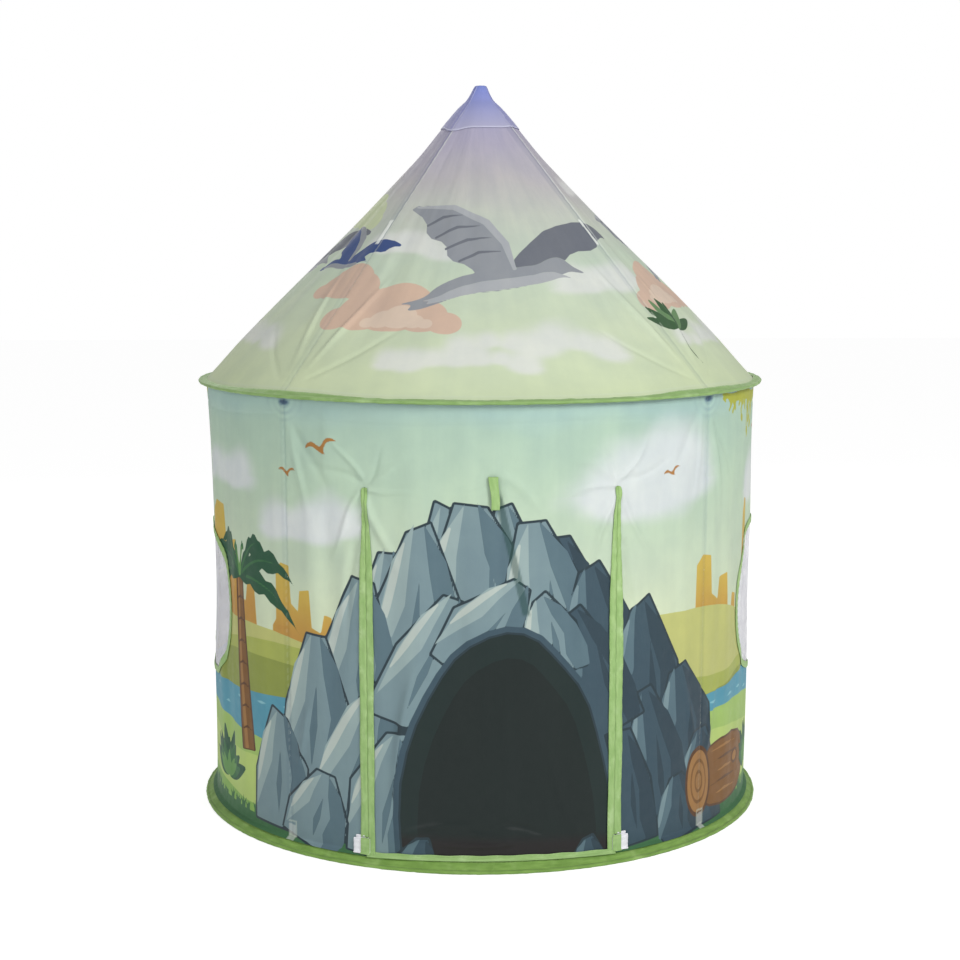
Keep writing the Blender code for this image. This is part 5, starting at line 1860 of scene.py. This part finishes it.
def roof_attributes(mesh):
    """Print, stitches and the painted light and shade of what lies behind, for a roof panel."""
    azimuth, slant = grid_values(mesh)
    if azimuth.mean() > 230:
        azimuth = azimuth - 360
    x, y = unrolled(azimuth, slant)
    clouds = []
    for cloud_azimuth, cloud_slant, width, height in ROOF_CLOUDS:
        cloud_x, cloud_y, lean = roof_spot(cloud_azimuth, cloud_slant)
        clouds.append((cloud_x, cloud_y, width, height, lean))
    add_print(mesh, x, y, draw_roof, ROOF_INKS, 0.0)
    write_floats(mesh, "cloud", ROOF_CLOUD * cloud_cover(x, y, clouds, 83))
    side = np.radians(past_pole(azimuth)) * (RIM_RADIUS - slant * SLOPE_COS)
    high_up = smooth_share(slant, 0.24, 0.42)
    # Painted shade along each seam, over the sleeve beside it and along the roof's lower edge
    shade = 1 - (0.14 + 0.16 * high_up) * bell(side, 0.0019)
    sleeve = plateau(side, -0.0140, -0.0112, -0.0010, 0.0006)
    shade = shade * (1 - (0.08 + 0.05 * high_up) * sleeve)
    shade = shade * (1 - 0.03 * (1 - smooth_share(slant, 0.0080, 0.0095)))
    # Painted light where the white ferrule lies behind the roof cloth, and a pale line beside the seam
    # higher up
    ferrule = within(slant, FERRULE_SLANT, 0.0300) & (side > -0.0085) & (side < -0.0015)
    pale_seam_line = bell(side - 0.0034, 0.0013) * high_up
    seam_row = within(side, 0.0022, 0.0008) & dashes(slant, 0.0042, -0.2)
    write_floats(mesh, "show_through", shade)
    write_floats(mesh, "painted_light_and_pale_line", np.where(ferrule, 0.80, 0.50 * pale_seam_line))
    write_floats(mesh, "stitch", 0.30 * seam_row + 0.18 * within(slant, 0.0075, 0.0008))
    write_uv(mesh, np.radians(azimuth) * RIM_RADIUS * 0.62, slant)


def make_roof_panel(quarter, look):
    low, high = panel_range(quarter)
    cell = ROOF_CELL if quarter == 0 else FAR_ROOF_CELL
    columns = even(low, high, float(np.degrees(cell / RIM_RADIUS)))
    rows = even(-0.004, ROOF_SLANT - ROOF_TOP / SLOPE_COS, cell)
    piece = grid_piece(PANELS[quarter] + "_roof_cloth", columns, rows, roof_place)
    roof_attributes(piece.data)
    dress(piece, look, "tent", PANELS[quarter] + "_roof")
    declare_roof(piece)


def declare_roof(piece):
    """A roof panel is cut as a sector, so its flat size is the box round the unrolled sector."""
    azimuth, slant = grid_values(piece.data)
    x, y = unrolled(azimuth - azimuth.mean(), slant)
    width, length = float(np.ptp(x)), float(np.ptp(y))
    min(cloth_area(piece), width * length)


# The cap

CAP_RADIUS = 0.0745
ROOF_TOP = 0.045             # how far from the peak the roof's panels end, under the cap
CAP_RADII = (0.0, 0.0080, 0.0105, 0.0125, 0.0145, 0.0205, 0.0280, 0.0365, 0.0745)
CAP_DROPS = (0.0, 0.0004, 0.0013, 0.0038, 0.0068, 0.0165, 0.0280, 0.0376, 0.0770)


def make_cap(look):
    """The cap over the peak: four gores that follow the poles, up to a small blunt nose."""
    foot = ROOF_SLANT - CAP_RADIUS / SLOPE_COS
    neck = ROOF_SLANT - ROOF_TOP

    def place(azimuth, slant):
        turned = (azimuth + 180) % 360 - 180
        slant = slant - 0.011 * bell(turned + 42.5, 16.0) * smooth_share(foot + 0.030 - slant, 0.0, 0.030)
        radius = (ROOF_SLANT - slant) * SLOPE_COS
        nose_radius = radius * (1 - 0.11 * facet_share(azimuth) * smooth_share(radius, 0.008, 0.020))
        nose = polar(azimuth, nose_radius, PEAK_HEIGHT - np.interp(radius, CAP_RADII, CAP_DROPS))
        nose[..., 0] += 0.0016 * smooth_share(0.030 - radius, 0.0, 0.03)
        share = smooth_share(radius, 0.022, 0.040)[..., None]
        return nose * (1 - share) + roof_place(azimuth, slant, 0.0012) * share

    slants = joined(even(foot, neck, 0.0022), even(neck, ROOF_SLANT, 0.0011))
    piece = grid_piece("peak_cap", np.linspace(0, 360, 241), slants, place, closed=True)
    azimuth, slant = grid_values(piece.data)
    side = np.radians(past_pole(azimuth)) * ((ROOF_SLANT - slant) * SLOPE_COS)
    edge_row = within(slant - foot, 0.0016, 0.0011)
    gore_row = within(side, 0.0012, 0.0008) & ~edge_row
    sew(piece, 0.85 * edge_row + 0.38 * gore_row)
    # Painted shade on the two side gores, which face sideways
    turned = (azimuth - POLE_TURN) % 180
    write_floats(piece.data, "painted_shade_side_gores", 0.34 * ((turned > QUARTER / 2) & (turned < 1.5 * QUARTER)))
    write_uv(piece.data, np.radians(azimuth) * 0.05, slant)
    thicken(piece, CLOTH / 2)
    dress(piece, look, "tent", "apex_cap")
    width = 2 * CAP_RADIUS / SLOPE_COS
    max(cloth_area(piece), 0.31 * width ** 2)


# Sleeves and pockets round the poles

def make_pole_cloth(look):
    """Each CAD sleeve and pocket again as thin gathered cloth, stitched near its two ends."""
    for corner, azimuth in zip(CORNERS, pole_azimuths()):
        for kind in ("foot_pocket", "wall_sleeve", "roof_sleeve"):
            node = kind + "_" + corner
            low, high = (Vector(side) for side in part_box(node))
            make_pole_tube(node, azimuth, low, high, kind, look)


def make_pole_tube(node, azimuth, low, high, kind, look):
    """Thin gathered cloth round a pole, from the low to the high end of its CAD node."""
    if kind == "roof_sleeve":
        slants = [(z - RIM_HEIGHT + POLE_INSET * SLOPE_COS) / SLOPE_SIN for z in (low.z, high.z)]
        slack = SLEEVE_RADIUS * SLOPE_COS / SLOPE_SIN
        start = pole_spot(azimuth, slants[0] + slack)
        end = pole_spot(azimuth, slants[1] - slack)
    else:
        foot = Vector(polar(azimuth, WALL_FOOT_RADIUS - POLE_INSET, 0.0))
        head = Vector(polar(azimuth, WALL_TOP_RADIUS - POLE_INSET, WALL_TOP))
        start = foot.lerp(head, low.z / WALL_TOP)
        end = foot.lerp(head, high.z / WALL_TOP)
        start.z = low.z
        end.z = high.z
    axis = (end - start).normalized()
    side = Vector((0, 0, 1)).cross(Vector((start.x, start.y, 0))).normalized()
    outward = side.cross(axis).normalized()
    length = (end - start).length
    start, axis, side, outward = (np.array(vector) for vector in (start, axis, side, outward))

    def place(turn, along):
        radius = SLEEVE_RADIUS - SLEEVE_ROOM + 0.0003 * soft_noise(turn / 360 * 9, along * 90.0, 77, 9)
        out = (np.cos(np.radians(turn)) * radius)[..., None]
        across = (np.sin(np.radians(turn)) * radius)[..., None]
        return start + axis * along[..., None] + outward * out + side * across

    turns = np.linspace(0, 360, 33)
    piece = grid_piece(node + "_cloth", turns, even(0.0, length, 0.006), place, closed=True)
    mesh = piece.data
    bm = bmesh.new()
    bm.from_mesh(mesh)
    bmesh.ops.recalc_face_normals(bm, faces=bm.faces)
    bm.to_mesh(mesh)
    bm.free()
    turn, along = grid_values(mesh)
    write_uv(mesh, np.radians(turn) * SLEEVE_RADIUS, along)
    write_floats(mesh, "stitch", 0.6 * within(np.minimum(along, length - along), 0.003, 0.001))
    thicken(piece, TAPE / 2)
    dress(piece, look, "tent", node)


def pole_spot(azimuth, slant):
    """A point of a roof pole's middle line."""
    radius = RIM_RADIUS - slant * SLOPE_COS - POLE_INSET * SLOPE_SIN
    height = RIM_HEIGHT + slant * SLOPE_SIN - POLE_INSET * SLOPE_COS
    return Vector(polar(azimuth, radius, height))


# Studio

WORLD_STRENGTH = 0.46
FLOOR_GLOW = 1.36            # strength of the floor's white
FLOOR_SHARE = 0.60           # share of that white in what the camera sees
FLOOR_HALF = 14.0


def dress_cad_nodes(looks):
    """Better finishes for the CAD nodes that stay: poles, fittings and wires."""
    finishes = (
        ("wall_pole", "pole"), ("roof_pole", "pole"), ("pole_", "moulded"), ("apex_hub", "moulded"),
        ("upper_hoop_wire", "wire"), ("lower_hoop_wire", "wire"),
    )
    for name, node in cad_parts.items():
        for start, look in finishes:
            if name.startswith(start):
                for slot in node.material_slots:
                    slot.material = looks[look]


def floor_look():
    """Pale floor: white to the camera and to glossy rays, with the tent's soft shadow left in."""
    look = Look("Pale floor", 0.9)
    look.shader.inputs["Base Color"].default_value = linear("#F4F4F4")
    path = look.node("ShaderNodeLightPath")
    seen = look.math("MAXIMUM", path.outputs["Is Camera Ray"], path.outputs["Is Glossy Ray"])
    seen = look.math("MAXIMUM", seen, path.outputs["Is Transmission Ray"])
    glow = look.node("ShaderNodeEmission")
    glow.inputs["Color"].default_value = (1.0, 1.0, 1.0, 1.0)
    glow.inputs["Strength"].default_value = FLOOR_GLOW
    blend = look.node("ShaderNodeMixShader")
    look.link(look.math("MULTIPLY", seen, FLOOR_SHARE), blend.inputs["Fac"])
    look.link(look.shader.outputs["BSDF"], blend.inputs[1])
    look.link(glow.outputs["Emission"], blend.inputs[2])
    look.link(blend.outputs["Shader"], look.tree.nodes["Material Output"].inputs["Surface"])
    return look.material


def make_floor():
    floor = new_object("studio_floor", new_grid("studio_floor", 1, 1, FLOOR_HALF))
    floor.data.materials.append(floor_look())


def make_world():
    """Soft white light all round. To the camera and through clear gaps it is plain white."""
    world = bpy.data.worlds.new("Studio")
    world.use_nodes = True
    tree = world.node_tree
    dim = tree.nodes["Background"]
    white = tree.nodes.new("ShaderNodeBackground")
    path = tree.nodes.new("ShaderNodeLightPath")
    highest = tree.nodes.new("ShaderNodeMath")
    highest.operation = "MAXIMUM"
    blend = tree.nodes.new("ShaderNodeMixShader")
    for background, strength in ((dim, WORLD_STRENGTH), (white, 1.0)):
        background.inputs["Color"].default_value = (1.0, 1.0, 1.0, 1.0)
        background.inputs["Strength"].default_value = strength
    for source, target in (
        (path.outputs["Is Camera Ray"], highest.inputs[0]),
        (path.outputs["Is Transmission Ray"], highest.inputs[1]),
        (highest.outputs["Value"], blend.inputs["Fac"]),
        (dim.outputs["Background"], blend.inputs[1]), (white.outputs["Background"], blend.inputs[2]),
        (blend.outputs["Shader"], tree.nodes["World Output"].inputs["Surface"]),
    ):
        tree.links.new(source, target)
    bpy.context.scene.world = world


def make_lamp(name, place, size, power):
    """A soft panel lamp that faces the tent's middle."""
    lamp = bpy.data.lights.new(name, "AREA")
    lamp.shape = "RECTANGLE"
    lamp.size, lamp.size_y = size
    lamp.energy = power
    made = new_object(name, lamp)
    made.location = place
    aim = Vector((0.0, 0.0, HOOP_HEIGHT)) - Vector(place)
    made.rotation_euler = aim.to_track_quat("-Z", "Y").to_euler()


# Of each lamp: its name, its place, its size and its power
LAMPS = (
    ("Key lamp", (2.0, -3.0, 2.5), (1.1, 1.5), 84.0), ("Fill lamp", (-2.0, -2.9, 1.5), (1.6, 1.6), 24.0),
    ("Back lamp", (-0.4, 3.0, 2.6), (2.6, 2.0), 40.0),
)
CAMERA_DISTANCE = 3.417
CAMERA_AZIMUTH = -2.4
CAMERA_HEIGHT = 1.065
CAMERA_PITCH = 7.94
CAMERA_LENS = 68.1


def make_camera():
    data = bpy.data.cameras.new("Photo camera")
    data.lens = CAMERA_LENS
    data.sensor_width = 36.0
    made = new_object("Photo camera", data)
    made.location = Vector(polar(CAMERA_AZIMUTH, CAMERA_DISTANCE, CAMERA_HEIGHT))
    made.rotation_euler = (math.radians(90.0 - CAMERA_PITCH), 0.0, math.radians(CAMERA_AZIMUTH))
    bpy.context.scene.camera = made


def make_tent():
    looks = make_looks()
    for quarter in range(QUARTERS):
        make_wall_panel(quarter, looks["wall"])
        make_roof_panel(quarter, looks["roof"])
    make_cap(looks["cap"])
    make_door(looks["wall"])
    make_slit_bindings(looks["green"])
    make_door_binding(looks["green"])
    make_tabs(looks["white_tape"], looks["green"])
    make_outer_strap(looks["green"])
    make_inner_tie(looks["green"])
    make_window("right", WINDOW_AZIMUTH, looks)
    make_window("left", 360.0 - WINDOW_AZIMUTH, looks)
    make_hoop_tape("upper_hoop_tape", (HOOP_RADIUS, HOOP_HEIGHT), (RIM_RADIUS, RIM_HEIGHT), looks["hoop"],
                   "upper_hoop_sleeve")
    leg_end = (WALL_FOOT_RADIUS - 0.0006, WALL_FOOT - 0.0002)
    make_hoop_tape("lower_hoop_tape", (GROUND_HOOP_RADIUS, LOW_WIRE_HEIGHT), leg_end, looks["shaded_low_hoop"],
                   "lower_hoop_sleeve", floor=FLOOR_ROOM)
    make_pole_cloth(looks["inner"])
    dress_cad_nodes(looks)


def main():
    make_tent()
    make_floor()
    make_world()
    for lamp in LAMPS:
        make_lamp(*lamp)
    make_camera()
    bpy.context.scene.view_settings.view_transform = "Standard"


main()
